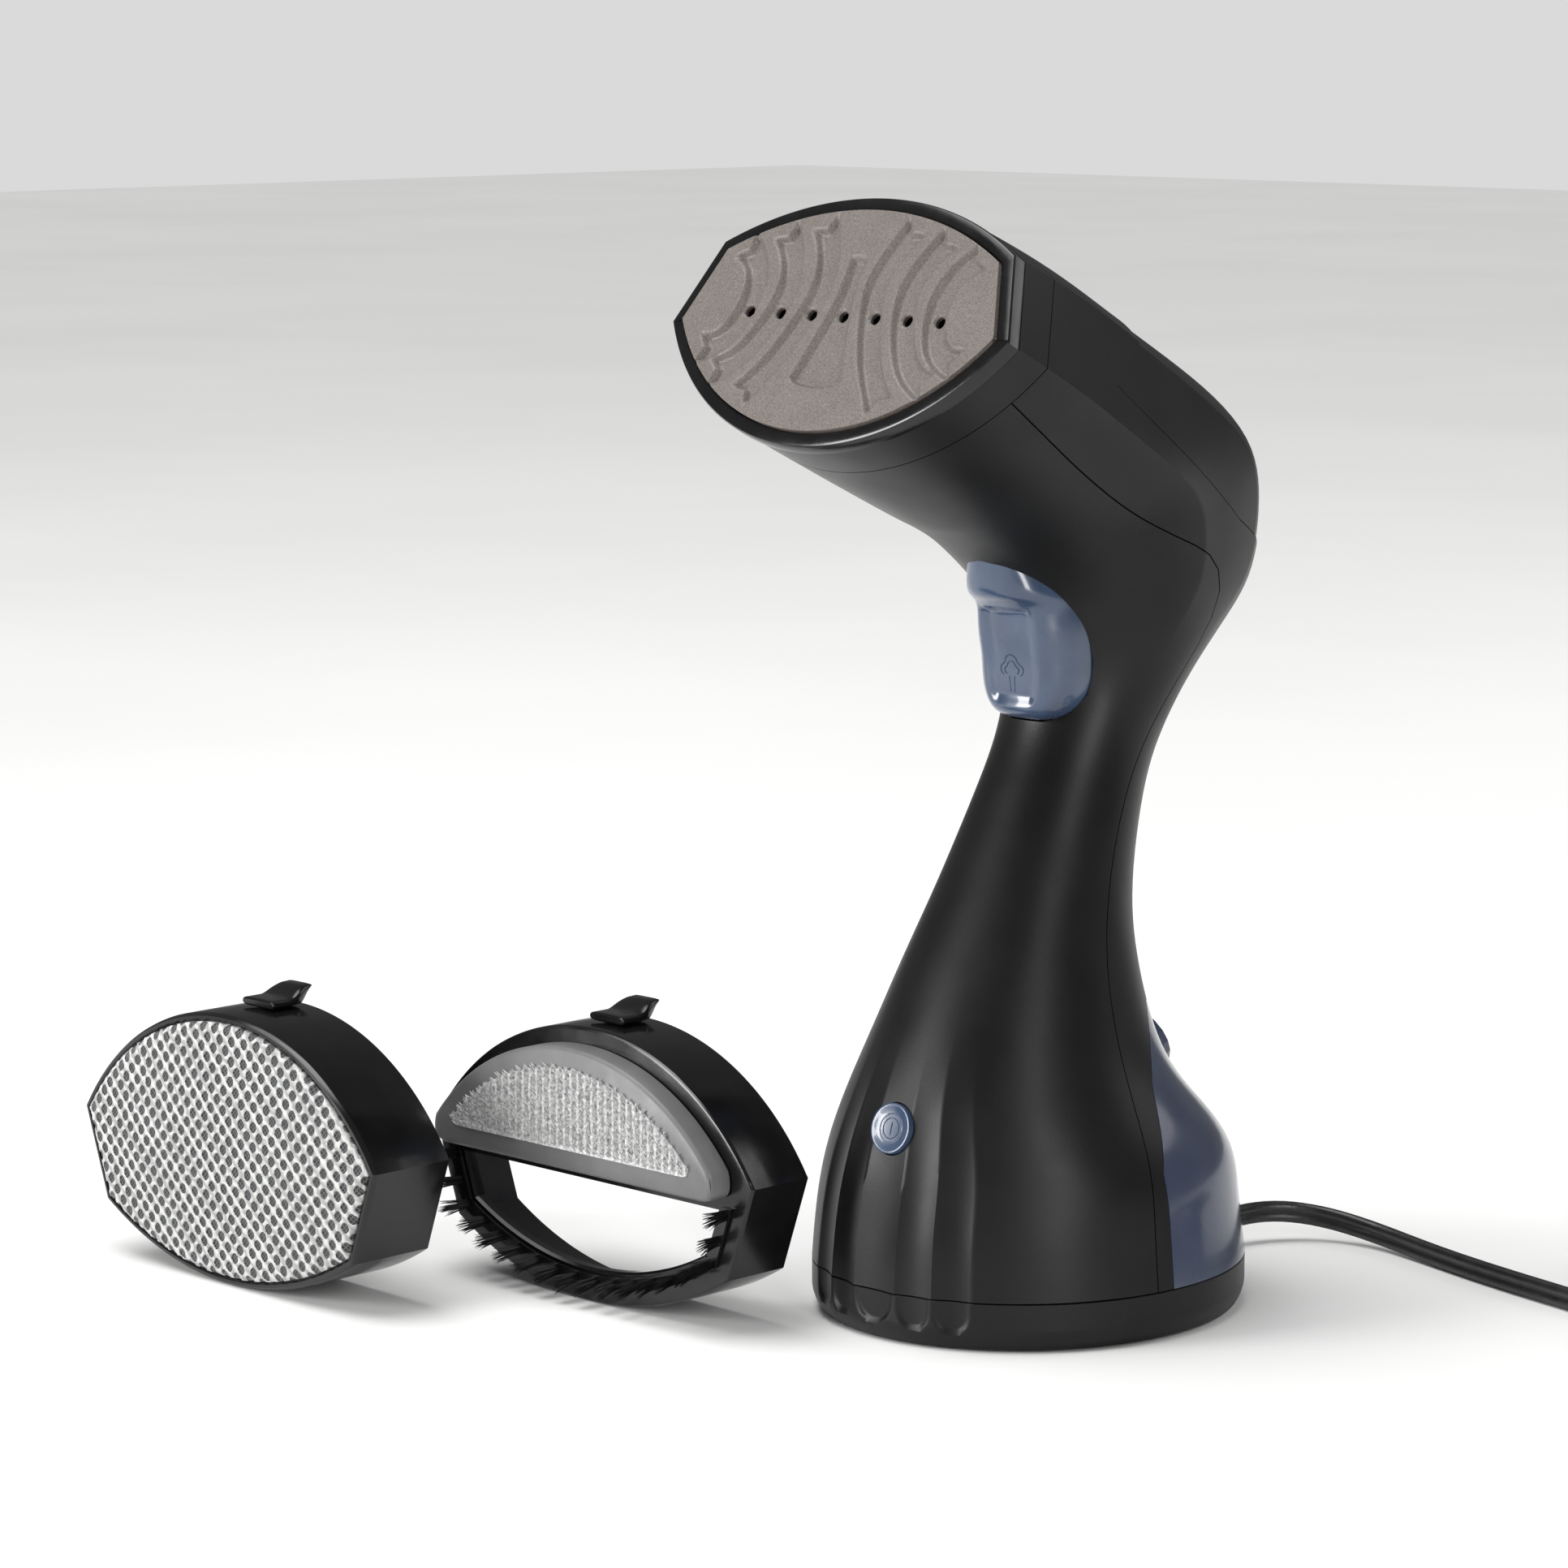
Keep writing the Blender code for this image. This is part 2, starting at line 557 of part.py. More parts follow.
def make_trigger(tools, blue, steel, grey):
    y, z = TRIGGER_PIVOT
    trigger = trigger_body("trigger", 0.0, PARTS, blue)
    arm = prism("trigger_arm", ((y - 5.0, z + 4.5), (y + 5.0, z + 4.5), (6.0, 184.0), (5.0, 180.0),
                                (-10.0, 180.0)), 3.6, CUTTERS)
    join_with(trigger, arm)
    cut_with(trigger, rod("pin_bore", (-20.0, y, z), (20.0, y, z), TRIGGER_PIN_RADIUS + 0.05, CUTTERS,
                          segments=16))
    rod("trigger_pin", (-12.0, y, z), (12.0, y, z), TRIGGER_PIN_RADIUS, PARTS, steel, segments=16)

    bracket = prism("trigger_bracket", ((-26.0, 199.0), (23.0, 199.0), (23.0, 150.0), (20.0, 150.0),
                                        (20.0, 176.0), (-26.0, 176.0)), BRACKET_HALF_WIDTH, PARTS, steel)
    keep_inside(bracket, tools["lining"])
    cut_with(bracket, box("bracket_slot", (-7.8, -40.0, 140.0), (7.8, 15.0, 210.0), CUTTERS),
             trigger_body("trigger_room", FIT + 1.2, CUTTERS),
             rod("pin_seat", (-20.0, y, z), (20.0, y, z), TRIGGER_PIN_RADIUS + GAP, CUTTERS, segments=16))

    coil_spring("trigger_spring", (4.5, y, z), 2.8, TRIGGER_PIN_RADIUS + 1.0, 0.4, 3, steel)
    box("micro_switch", (-3.2, 14.4, 165.0), (3.2, 19.7, 175.0), PARTS, grey)
    pivot("trigger_axis", (0.0, y, z), trigger)


def coil_spring(name, start, length, radius, wire, turns, material):
    """A spring wound round an axis along X, with its wire as one tube."""
    x, y, z = start
    steps = turns * 12
    points = []
    for i in range(steps + 1):
        turn = 2.0 * math.pi * i / 12.0
        points.append((x + length * i / steps, y + radius * math.cos(turn), z + radius * math.sin(turn)))
    return tube(name, points, wire, PARTS, material, resolution=1)


# ---- power button and board ------------------------------------------------------------------------------
def button_point(out):
    """A place on the power button's axis, so far out of the shell."""
    y, z = BUTTON_PLACE
    return (0.0, y - out * math.cos(BUTTON_TILT), z + out * math.sin(BUTTON_TILT))


def make_button(blue, green, grey):
    button = rod("power_button", button_point(0.9), button_point(-3.8), BUTTON_RADIUS, PARTS, blue,
                 segments=28)
    flange_radius = BUTTON_RADIUS + 1.6
    join_with(button, rod("button_flange", button_point(-3.4), button_point(-4.4), flange_radius, CUTTERS),
              rod("button_stem", button_point(-4.0), button_point(-6.2), 1.8, CUTTERS, segments=12))
    front = -37.4
    box("control_board", (-14.0, front, 38.3 + GAP), (14.0, front + 1.6, 59.0), PARTS, green)
    z = button_point(-7.6)[2]
    box("power_switch", (-3.0, front - 3.2, z - 3.0), (3.0, front - GAP, z + 3.0), PARTS, grey)
    pivot("power_button_axis", button_point(0.0), button)


# ---- water tank ------------------------------------------------------------------------------------------
def make_tank(clear, silicone):
    front = list(TANK_FRONT)
    tank = loft("tank_body", body_rings(), PARTS, clear)
    keep_inside(tank, prism("tank_room", front + [(90.0, TANK_TOP), (90.0, TANK_BOTTOM)], 60.0, CUTTERS))
    inner = [(y + TANK_WALL, z) for y, z in front]
    inner[0] = (inner[0][0], TANK_BOTTOM + TANK_WALL)
    inner[-1] = (inner[-1][0], TANK_TOP - TANK_WALL)
    cavity = loft("tank_cavity", body_rings(TANK_WALL), CUTTERS)
    inner += [(90.0, TANK_TOP - TANK_WALL), (90.0, TANK_BOTTOM + TANK_WALL)]
    keep_inside(cavity, prism("cavity_room", inner, 60.0, CUTTERS))
    mouth, normal, up = filler_frame()
    boss = rod("filler_boss", mouth - normal * 3.0, mouth + normal * 2.5, FILLER_BOSS_RADIUS, CUTTERS)
    join_with(tank, boss)
    cut_with(tank, cavity,
             rod("filler_hole", mouth - normal * 12.0, mouth + normal * 6.0, FILLER_RADIUS, CUTTERS))

    x, valve_z = VALVE_PLACE
    cut_with(tank, rod("valve_hole", (x, -8.0, valve_z), (x, 4.0, valve_z), 4.0, CUTTERS, segments=16))
    rod("tank_valve", (x, -4.0, valve_z), (x, 3.0, valve_z), 4.0 - GAP, PARTS, silicone, segments=16)

    seat = mouth + normal * (2.5 + GAP)
    lid = rod("filler_lid", seat, seat + normal * 2.2, FILLER_BOSS_RADIUS, PARTS, silicone)
    axis_place = seat + up * (FILLER_BOSS_RADIUS + 3.2) + normal * 1.1
    across = Vector((1.0, 0.0, 0.0))
    barrel = across * 3.5
    bore = across * 8.0
    pin = across * 7.0
    join_with(lid, rod("lid_plug", seat - normal * 4.0, seat + normal * 1.0, FILLER_RADIUS - GAP, CUTTERS),
              rod("lid_barrel", axis_place - barrel, axis_place + barrel, 2.1, CUTTERS, segments=16),
              spanning_box("lid_tab", seat + up * 7.0 + normal * 1.1, axis_place, 3.5, 0.9))
    cut_with(lid, rod("lid_bore", axis_place - bore, axis_place + bore, 1.05, CUTTERS, segments=12))

    hinge = rod("lid_hinge", axis_place - pin, axis_place + pin, 1.0, PARTS, clear, segments=12)
    for side in (-1.0, 1.0):
        ear = rod(f"lid_ear_{int(side)}", axis_place + across * side * 4.1, axis_place + pin * side, 2.1,
                  CUTTERS, segments=16)
        root = spanning_box(f"lid_root_{int(side)}", axis_place + across * side * 5.55,
                            axis_place + across * side * 5.55 - normal * 6.0, 1.3, 1.6)
        join_with(hinge, ear, root)
    cut_with(hinge, loft("hinge_seat", body_rings(-GAP), CUTTERS),
             rod("boss_room", mouth - normal * 3.0, mouth + normal * 3.0, FILLER_BOSS_RADIUS + GAP, CUTTERS))
    pivot("filler_lid_axis", axis_place, lid)


def filler_frame():
    """Place, outward direction and up-slope direction of the filler on the back of the tank's shoulder."""
    low, high = np.array(FILLER_SLOPE)
    slope = Vector((0.0, *(high - low))).normalized()
    normal = Vector((0.0, slope.z, -slope.y))
    return Vector((0.0, *(low * 0.8 + high * 0.2))), normal, slope


def spanning_box(name, start, end, half_width, half_thick):
    """A bar of rectangular section between two places in a side-view plane."""
    start = Vector(start)
    end = Vector(end)
    step = (end - start).normalized()
    side = Vector((0.0, -step.z, step.y)) * half_thick
    outline = [(p.y, p.z) for p in (start + side, end + side, end - side, start - side)]
    return prism(name, outline, half_width, CUTTERS, middle=start.x)


# ---- chassis, pump and hoses -----------------------------------------------------------------------------
def make_inside(tools, heater_end, grey, blue_grey, steel, silicone, black):
    wall = strip(TANK_FRONT, 2.0 * GAP, 2.0 * GAP + 2.0)
    wall[0] = (wall[0][0], RING_TOP + GAP)
    wall[-1] = (wall[-1][0], RING_TOP + GAP)
    chassis = prism("chassis", wall, 60.0, PARTS, grey)
    shelf = box("board_shelf", (-20.0, -39.6, 36.2), (20.0, -5.0, 38.3), CUTTERS)
    join_with(chassis, shelf)
    keep_inside(chassis, tools["lining"])

    half = PUMP_LENGTH / 2.0
    pump = rod("pump_body", (-half, PUMP_Y, PUMP_Z), (half, PUMP_Y, PUMP_Z), PUMP_RADIUS, PARTS, blue_grey)
    join_with(pump, rod("pump_outlet", (half - 1.0, PUMP_Y, PUMP_Z), (half + 6.0, PUMP_Y, PUMP_Z), 3.0,
                        CUTTERS, segments=12))
    cut_with(pump, rod("pump_bore", (-half - 5.0, PUMP_Y, PUMP_Z), (half - 12.0, PUMP_Y, PUMP_Z),
                       PUMP_BORE, CUTTERS, segments=16))
    piston = rod("pump_piston", (-half - 3.0, PUMP_Y, PUMP_Z), (half - 15.0, PUMP_Y, PUMP_Z),
                 PUMP_BORE - 0.1, PARTS, steel, segments=16)
    pivot("pump_piston_axis", (-half, PUMP_Y, PUMP_Z), piston)

    inlet = head_point(9.0, 0.0, heater_end + 6.0 + GAP)
    delivery = spline(((half + 6.0 + GAP, PUMP_Y, PUMP_Z), (half + 10.5, PUMP_Y, PUMP_Z + 0.3),
                       (35.0, -23.0, 20.0), (37.0, -21.5, 28.0), (34.0, -18.0, 42.0), (24.0, -12.0, 62.0),
                       (12.0, -2.0, 90.0), (8.0, 12.0, 120.0), (9.0, 28.0, 150.0), (17.0, 34.0, 177.0), (17.5, 20.0, 205.0),
                       (14.0, -8.0, 219.0), inlet), 46, True)
    tube("delivery_hose", delivery, HOSE_RADIUS, PARTS, silicone)
    x, valve_z = VALVE_PLACE
    rod("suction_hose", (x, -4.0 - GAP, valve_z), (x, PUMP_Y + PUMP_RADIUS + 0.2, valve_z), 1.8, PARTS,
        silicone, segments=12)
    cut_with(chassis, rod("suction_hole", (x, -9.0, valve_z), (x, 0.0, valve_z), 2.2, CUTTERS, segments=12))
    loom = spline(((-8.0, -34.6, 55.0), (-8.0, -31.5, 55.6), (-7.0, -25.0, 74.0), (-6.0, -6.0, 100.0),
                   (-6.0, 10.0, 125.0), (-8.0, 28.0, 150.0), (-16.0, 33.0, 177.0), (-17.0, 18.0, 203.0),
                   (-17.0, -8.0, 219.0), head_point(-16.0, 2.0, heater_end + 12.2)), 26, True)
    tube("wiring_loom", loom, 1.5, PARTS, black)


# ---- base ------------------------------------------------------------------------------------------------
def base_ellipse(inset, z, points=48):
    """The base outline, drawn in by inset, at one height."""
    ring = []
    middle = (BASE_REAR - BASE_FRONT) / 2.0
    reach = (BASE_REAR + BASE_FRONT) / 2.0
    for i in range(points):
        turn = 2.0 * math.pi * i / points
        x = (BASE_HALF_WIDTH - inset) * math.sin(turn)
        ring.append((x, middle - (reach - inset) * math.cos(turn), z))
    return ring


def make_base(black, grey, rubber, steel):
    ring = loft("base_ring", [base_ellipse(RING_FOOT_INSET, RING_BOTTOM), base_ellipse(0.6, 3.0),
                              base_ellipse(0.0, 5.5), base_ellipse(0.0, RING_TOP)], PARTS, black)
    under_deck = RING_TOP - DECK_THICKNESS
    hollow = loft("ring_hollow", [base_ellipse(RING_WALL, z) for z in (-2.0, RING_TOP + 5.0)], CUTTERS)
    deck_levels = (under_deck, RING_TOP - 0.2)
    deck = loft("tank_deck", [base_ellipse(RING_WALL - 1.5, z) for z in deck_levels], CUTTERS)
    keep_inside(deck, box("rear_half", (-60.0, -7.0, 0.0), (60.0, 60.0, 40.0), CUTTERS))
    bosses = bmesh.new()
    shanks = bmesh.new()
    places = screw_places()
    for x, y in places:
        rod_into(bosses, (x, y, PLATE_TOP + GAP), (x, y, under_deck + 1.0), 5.0)
        rod_into(shanks, (x, y, -3.0), (x, y, under_deck - 0.5), 1.7, segments=12)
    cut_with(ring, hollow)
    join_with(ring, deck)
    boss_tool = finish_mesh("screw_bosses", bosses, CUTTERS)
    shank_tool = finish_mesh("screw_holes", shanks, CUTTERS)
    join_with(ring, boss_tool)
    cut_with(ring, shank_tool)
    z = CORD_EXIT_HEIGHT
    cut_with(ring, rod("cord_hole", (0.0, 40.0, z), (0.0, 70.0, z), RELIEF_NECK_RADIUS + GAP, CUTTERS,
                       segments=16))

    plate = loft("base_plate", [base_ellipse(RING_WALL + GAP, z) for z in (1.2, PLATE_TOP)], PARTS, grey)
    cut_with(plate, shank_tool)
    for x in (-12.0, 12.0):
        join_with(plate, box(f"pump_saddle_{int(x)}", (x - 1.5, -33.0, 2.6), (x + 1.5, -15.0, 9.5), CUTTERS))
    cut_with(plate, rod("saddle_cut", (-30.0, PUMP_Y, PUMP_Z), (30.0, PUMP_Y, PUMP_Z), PUMP_RADIUS + GAP,
                        CUTTERS))
    loft("base_pad", [base_ellipse(15.0, 0.0), base_ellipse(15.0, 1.2 - GAP)], PARTS, rubber)
    for number, (x, y) in enumerate(places, 1):
        screw = rod(f"base_screw_{number}", (x, y, 0.2), (x, y, 0.9), 2.6, PARTS, steel, segments=16)
        join_with(screw, rod(f"screw_shank_{number}", (x, y, 0.6), (x, y, 8.0), 1.4, CUTTERS, segments=12))


def screw_places():
    """One screw at the front and two at the rear, just inside the ring's wall."""
    middle = (BASE_REAR - BASE_FRONT) / 2.0
    reach = (BASE_REAR + BASE_FRONT) / 2.0 - SCREW_INSET
    across = (BASE_HALF_WIDTH - SCREW_INSET) * math.sin(SCREW_TURN)
    back = middle - reach * math.cos(SCREW_TURN)
    return (0.0, middle - reach), (across, back), (-across, back)


# ---- mains lead ------------------------------------------------------------------------------------------
def make_lead(rubber, brass):
    z = CORD_EXIT_HEIGHT
    relief = rod("strain_relief", (0.0, BASE_REAR + 0.7, z), (0.0, RELIEF_END, z), 3.9, PARTS, rubber,
                 end_radius=CORD_RADIUS + 0.4)
    inner = BASE_REAR - RING_WALL
    join_with(relief, rod("relief_neck", (0.0, inner - 1.5, z), (0.0, BASE_REAR + 1.8, z), RELIEF_NECK_RADIUS,
                          CUTTERS, segments=16),
              box("relief_flange", (-5.0, inner - 3.0, z - 2.5), (5.0, inner - 1.0, z + 2.5), CUTTERS))
    tube("cord", spline(CORD_ROUTE, 24, True), CORD_RADIUS, PARTS, rubber)

    low = 3.0
    high = COIL_HEIGHT - low
    profile = ((COIL_OUTER, low), (COIL_OUTER - low, 0.0), (COIL_INNER + low, 0.0), (COIL_INNER, low),
               (COIL_INNER, high), (COIL_INNER + low, COIL_HEIGHT), (COIL_OUTER - low, COIL_HEIGHT),
               (COIL_OUTER, high))
    turned_ring("cord_coil", profile, (*COIL_CENTRE, 0.0), rubber)

    foot = COIL_HEIGHT + GAP
    middle = foot + PLUG_HEIGHT / 2.0
    back = PLUG_FRONT + PLUG_LENGTH
    plug = box("plug_body", (PLUG_FRONT, PLUG_Y - PLUG_HALF_WIDTH, foot),
               (back, PLUG_Y + PLUG_HALF_WIDTH, foot + PLUG_HEIGHT), PARTS, rubber)
    soften(plug, 3.0)
    rod("plug_relief", (back + GAP, PLUG_Y, middle), (back + 20.2, PLUG_Y, middle), 4.2, PARTS, rubber,
        end_radius=CORD_RADIUS + 0.2)
    for side, name in ((-1.0, "plug_blade_left"), (1.0, "plug_blade_right")):
        blade = PLUG_Y + side * BLADE_HALF_PITCH
        box(name, (PLUG_FRONT - GAP - 16.7, blade - 0.75, middle - 3.15),
            (PLUG_FRONT - GAP, blade + 0.75, middle + 3.15), PARTS, brass)


def turned_ring(name, profile, centre, material):
    """A closed profile (radius, height) turned about the vertical axis."""
    bm = bmesh.new()
    loop = [bm.verts.new((radius, 0.0, height)) for radius, height in profile]
    edges = [bm.edges.new((loop[i], loop[(i + 1) % len(loop)])) for i in range(len(loop))]
    bmesh.ops.spin(bm, geom=loop + edges, cent=(0.0, 0.0, 0.0), axis=(0.0, 0.0, 1.0), angle=2.0 * math.pi,
                   steps=32, use_merge=True)
    bmesh.ops.remove_doubles(bm, verts=bm.verts, dist=0.001)
    bm.transform(Matrix.Translation(centre))
    return finish_mesh(name, bm, PARTS, material)


# ---- clip-on heads ---------------------------------------------------------------------------------------
def standing_point(place):
    """A mapping from the head's (u, v, depth) to a clip-on head that stands upside down on the floor."""
    foot = head_outline(SKIRT_FIT + SKIRT_WALL)[:, 1].max()

    def point(u, v, depth):
        return (place[0] - u, place[1] + depth, foot - v)
    return point


def half_block(name, point, low_v, high_v):
    corners = [point(-80.0, low_v, -40.0), point(80.0, high_v, 40.0)]
    low = np.min(corners, axis=0)
    high = np.max(corners, axis=0)
    return box(name, low, high, CUTTERS)


def make_clip(name, point, black):
    """The sprung catch on a clip-on head's long side: a finger tab on a short arm."""
    edge = HEAD_BOTTOM_V - SKIRT_FIT - SKIRT_WALL
    corners = (point(0.0, edge - GAP, 3.0), point(0.0, edge - GAP, SKIRT_DEPTH - 1.0),
               point(0.0, edge - 5.2, SKIRT_DEPTH + 1.5), point(0.0, edge - 5.2, SKIRT_DEPTH - 2.0),
               point(0.0, edge - 2.6, 9.0), point(0.0, edge - 2.6, 3.0))
    middle = corners[0][0]
    clip = prism(name, [(p[1], p[2]) for p in corners], 6.0, PARTS, black, middle=middle)
    pivot(name + "_axis", (middle, corners[0][1], corners[0][2] + 0.8), clip)
    return clip


def make_pad_head(gloss, fabric):
    point = standing_point(PAD_PLACE)
    outer = SKIRT_FIT + SKIRT_WALL
    frame = outline_body("pad_frame", outer, -8.0, SKIRT_DEPTH, PARTS, gloss, point=point)
    cut_with(frame, outline_body("pad_pocket", SKIRT_FIT, -12.0, -6.0, CUTTERS, point=point),
             outline_body("pad_window", -9.0, -12.0, 0.0, CUTTERS, point=point),
             outline_body("pad_skirt", SKIRT_FIT, -3.6, SKIRT_DEPTH + 5.0, CUTTERS, point=point))
    outline_body("pad_fabric", SKIRT_FIT - GAP, -9.4, -6.0 - GAP, PARTS, fabric, point=point)
    make_clip("pad_clip", point, gloss)
    pivot("pad_head_place", (*PAD_PLACE, 0.0), frame)


def make_brush_head(gloss, satin, pile, bristle):
    point = standing_point(BRUSH_PLACE)
    outer = SKIRT_FIT + SKIRT_WALL
    frame = outline_body("brush_frame", outer, -3.0, SKIRT_DEPTH, PARTS, gloss, point=point)
    window = outline_body("brush_window", -6.0, -12.0, 8.0, CUTTERS, point=point)
    keep_inside(window, half_block("brush_lower_half", point, 2.0, 60.0))
    cut_with(frame, window,
             outline_body("brush_skirt", SKIRT_FIT, 0.0, SKIRT_DEPTH + 5.0, CUTTERS, point=point))

    holder = outline_body("lint_holder", -1.5, -10.0, -3.0 - GAP, PARTS, satin, point=point)
    keep_inside(holder, half_block("holder_half", point, -60.0, -1.0))
    recess = outline_body("lint_recess", -6.5, -14.0, -8.2, CUTTERS, point=point)
    keep_inside(recess, half_block("recess_half", point, -60.0, -6.0))
    cut_with(holder, recess)
    pad = outline_body("lint_pad", -6.5 - GAP, -10.8, -8.2 - GAP, PARTS, pile, point=point)
    keep_inside(pad, half_block("pile_half", point, -60.0, -6.0 - GAP))

    seat = -3.0 - GAP
    strip_body = outline_body("bristle_strip", -1.6, seat - 0.9, seat, PARTS, bristle, point=point)
    cut_with(strip_body, outline_body("strip_hole", -4.6, -12.0, 4.0, CUTTERS, point=point))
    keep_inside(strip_body, half_block("strip_half", point, 1.0, 60.0))
    tufts = bmesh.new()
    line = tuft_line(18)
    for u, v in line:
        rod_into(tufts, point(u, v, -3.8), point(u * 1.03, v * 1.03, -10.8), 1.3, 1.5, segments=8)
    join_with(strip_body, finish_mesh("tufts", tufts, CUTTERS))
    make_clip("brush_clip", point, gloss)
    pivot("brush_head_place", (*BRUSH_PLACE, 0.0), frame)


def tuft_line(count):
    """Evenly spaced places on the rim's chamfered side, from one side corner to the other."""
    ring = head_outline(-3.1)
    half = RING_POINTS // 2
    first = round(half * 8 / 18)
    rows = ring[first:RING_POINTS - first + 1]
    rows = rows[rows[:, 1] > 2.6]
    lengths = np.concatenate(((0.0,), np.cumsum(np.linalg.norm(np.diff(rows, axis=0), axis=1))))
    wanted = np.linspace(1.6, lengths[-1] - 1.6, count)
    return [(np.interp(w, lengths, rows[:, 0]), np.interp(w, lengths, rows[:, 1])) for w in wanted]


# ---- the whole steamer -----------------------------------------------------------------------------------
clear_scene()
PARTS = make_collection("garment_steamer")
CUTTERS = make_collection("cutters")

satin_black = paint("satin black plastic", (0.018, 0.018, 0.019), 0.42)
gloss_black = paint("gloss black plastic", (0.012, 0.012, 0.013), 0.12)
blue_plastic = paint("blue-grey plastic", (0.12, 0.18, 0.28), 0.22)
clear_blue = paint("smoky clear tank", (0.10, 0.14, 0.22), 0.10, alpha=0.5)
ceramic_grey = paint("warm grey ceramic", (0.30, 0.27, 0.24), 0.45)
aluminium = paint("cast aluminium", (0.55, 0.55, 0.56), 0.45, 1.0)
steel_plate = paint("zinc-plated steel", (0.60, 0.60, 0.60), 0.30, 1.0)
brass_plate = paint("plated brass", (0.70, 0.62, 0.42), 0.25, 1.0)
rubber_black = paint("black flex", (0.015, 0.015, 0.015), 0.55)
silicone_milk = paint("milky silicone", (0.65, 0.66, 0.66), 0.50)
white_ceramic = paint("white ceramic", (0.75, 0.75, 0.72), 0.40)
board_green = paint("green board", (0.05, 0.22, 0.10), 0.45)
inner_grey = paint("grey inner plastic", (0.20, 0.20, 0.21), 0.55)
satin_grey = paint("satin grey plastic", (0.10, 0.10, 0.105), 0.38)
mesh_fabric = paint("grey spacer mesh", (0.62, 0.62, 0.62), 0.85)
pile_fabric = paint("grey lint pile", (0.35, 0.35, 0.35), 0.95)
bristle_black = paint("black bristle", (0.012, 0.012, 0.012), 0.60)

TOOLS = make_tools()
make_shells(TOOLS, satin_black)
HEATER_END = make_steam_head(gloss_black, ceramic_grey, silicone_milk, aluminium, steel_plate, white_ceramic)
make_trigger(TOOLS, blue_plastic, steel_plate, inner_grey)
make_button(blue_plastic, board_green, inner_grey)
make_tank(clear_blue, silicone_milk)
make_inside(TOOLS, HEATER_END, inner_grey, blue_plastic, steel_plate, silicone_milk, rubber_black)
make_base(satin_black, inner_grey, rubber_black, steel_plate)
make_lead(rubber_black, brass_plate)
make_pad_head(gloss_black, mesh_fabric)
make_brush_head(gloss_black, satin_grey, pile_fabric, bristle_black)
bpy.context.view_layer.update()
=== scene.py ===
"""Looks of a handheld garment steamer with its two clip-on heads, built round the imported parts.

Sizes are in millimetres in this file and are scaled to metres when a mesh is made.
"""
import math

import bmesh
import bpy
import numpy as np
from mathutils import Matrix, Vector


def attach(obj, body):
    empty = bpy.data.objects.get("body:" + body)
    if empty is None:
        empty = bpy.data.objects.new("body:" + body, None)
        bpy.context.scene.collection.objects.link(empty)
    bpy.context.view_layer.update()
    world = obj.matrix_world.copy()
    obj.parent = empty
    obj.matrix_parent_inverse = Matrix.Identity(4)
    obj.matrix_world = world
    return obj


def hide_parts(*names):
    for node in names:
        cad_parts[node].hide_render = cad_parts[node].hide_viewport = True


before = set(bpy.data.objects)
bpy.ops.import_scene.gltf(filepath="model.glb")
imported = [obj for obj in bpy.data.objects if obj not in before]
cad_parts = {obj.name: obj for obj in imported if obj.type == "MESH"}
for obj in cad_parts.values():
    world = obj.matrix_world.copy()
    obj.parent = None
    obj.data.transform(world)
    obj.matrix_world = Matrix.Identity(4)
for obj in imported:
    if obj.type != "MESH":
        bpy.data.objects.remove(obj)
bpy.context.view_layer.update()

# ---- Camera ----------------------------------------------------------------------------------------------
# A long lens a little over a metre away and slightly above the grip, to the front right of the steamer.
camera = bpy.data.objects.new("camera", bpy.data.cameras.new("camera"))
camera.location = (0.82632, -0.91788, 0.31967)
camera.rotation_euler = (math.radians(81.219), 0.0, math.radians(44.784))
camera.data.sensor_width = 36.0
camera.data.lens = 117.46
bpy.context.scene.collection.objects.link(camera)
bpy.context.scene.camera = camera
bpy.context.scene.view_settings.view_transform = "Standard"


# ---- Mains lead ------------------------------------------------------------------------------------------
# Two metres of flat twin flex in PVC, two wires side by side with a web between them. It stands on its edge,
# leaves the back of the base through a rubber strain relief, and ends in a moulded two-blade plug.
MM = 0.001
SHARP_ANGLE = math.radians(32.0)
LEAD_WIDTH = 5.6
LEAD_WIRE_RADIUS = 1.5
LEAD_ROUTE = ((0.0, 73.6, 6.6), (0.6, 80.0, 7.3), (5.3, 91.0, 7.6), (14.5, 98.6, 6.3), (27.0, 101.6, 4.4),
              (45.0, 98.8, 3.2), (70.0, 92.2, 3.0), (95.0, 86.8, 3.0), (115.0, 82.4, 3.0),
              (134.75, 76.1, 3.0))
COIL_CENTRE = (150.0, 118.0)
COIL_FIRST_RADIUS = 44.6
COIL_RADII = (29.2, 39.35)
COIL_TURNS = 4
COIL_LAYER = 5.9
PLUG_ENTRY = (163.5, 144.0, 18.8)


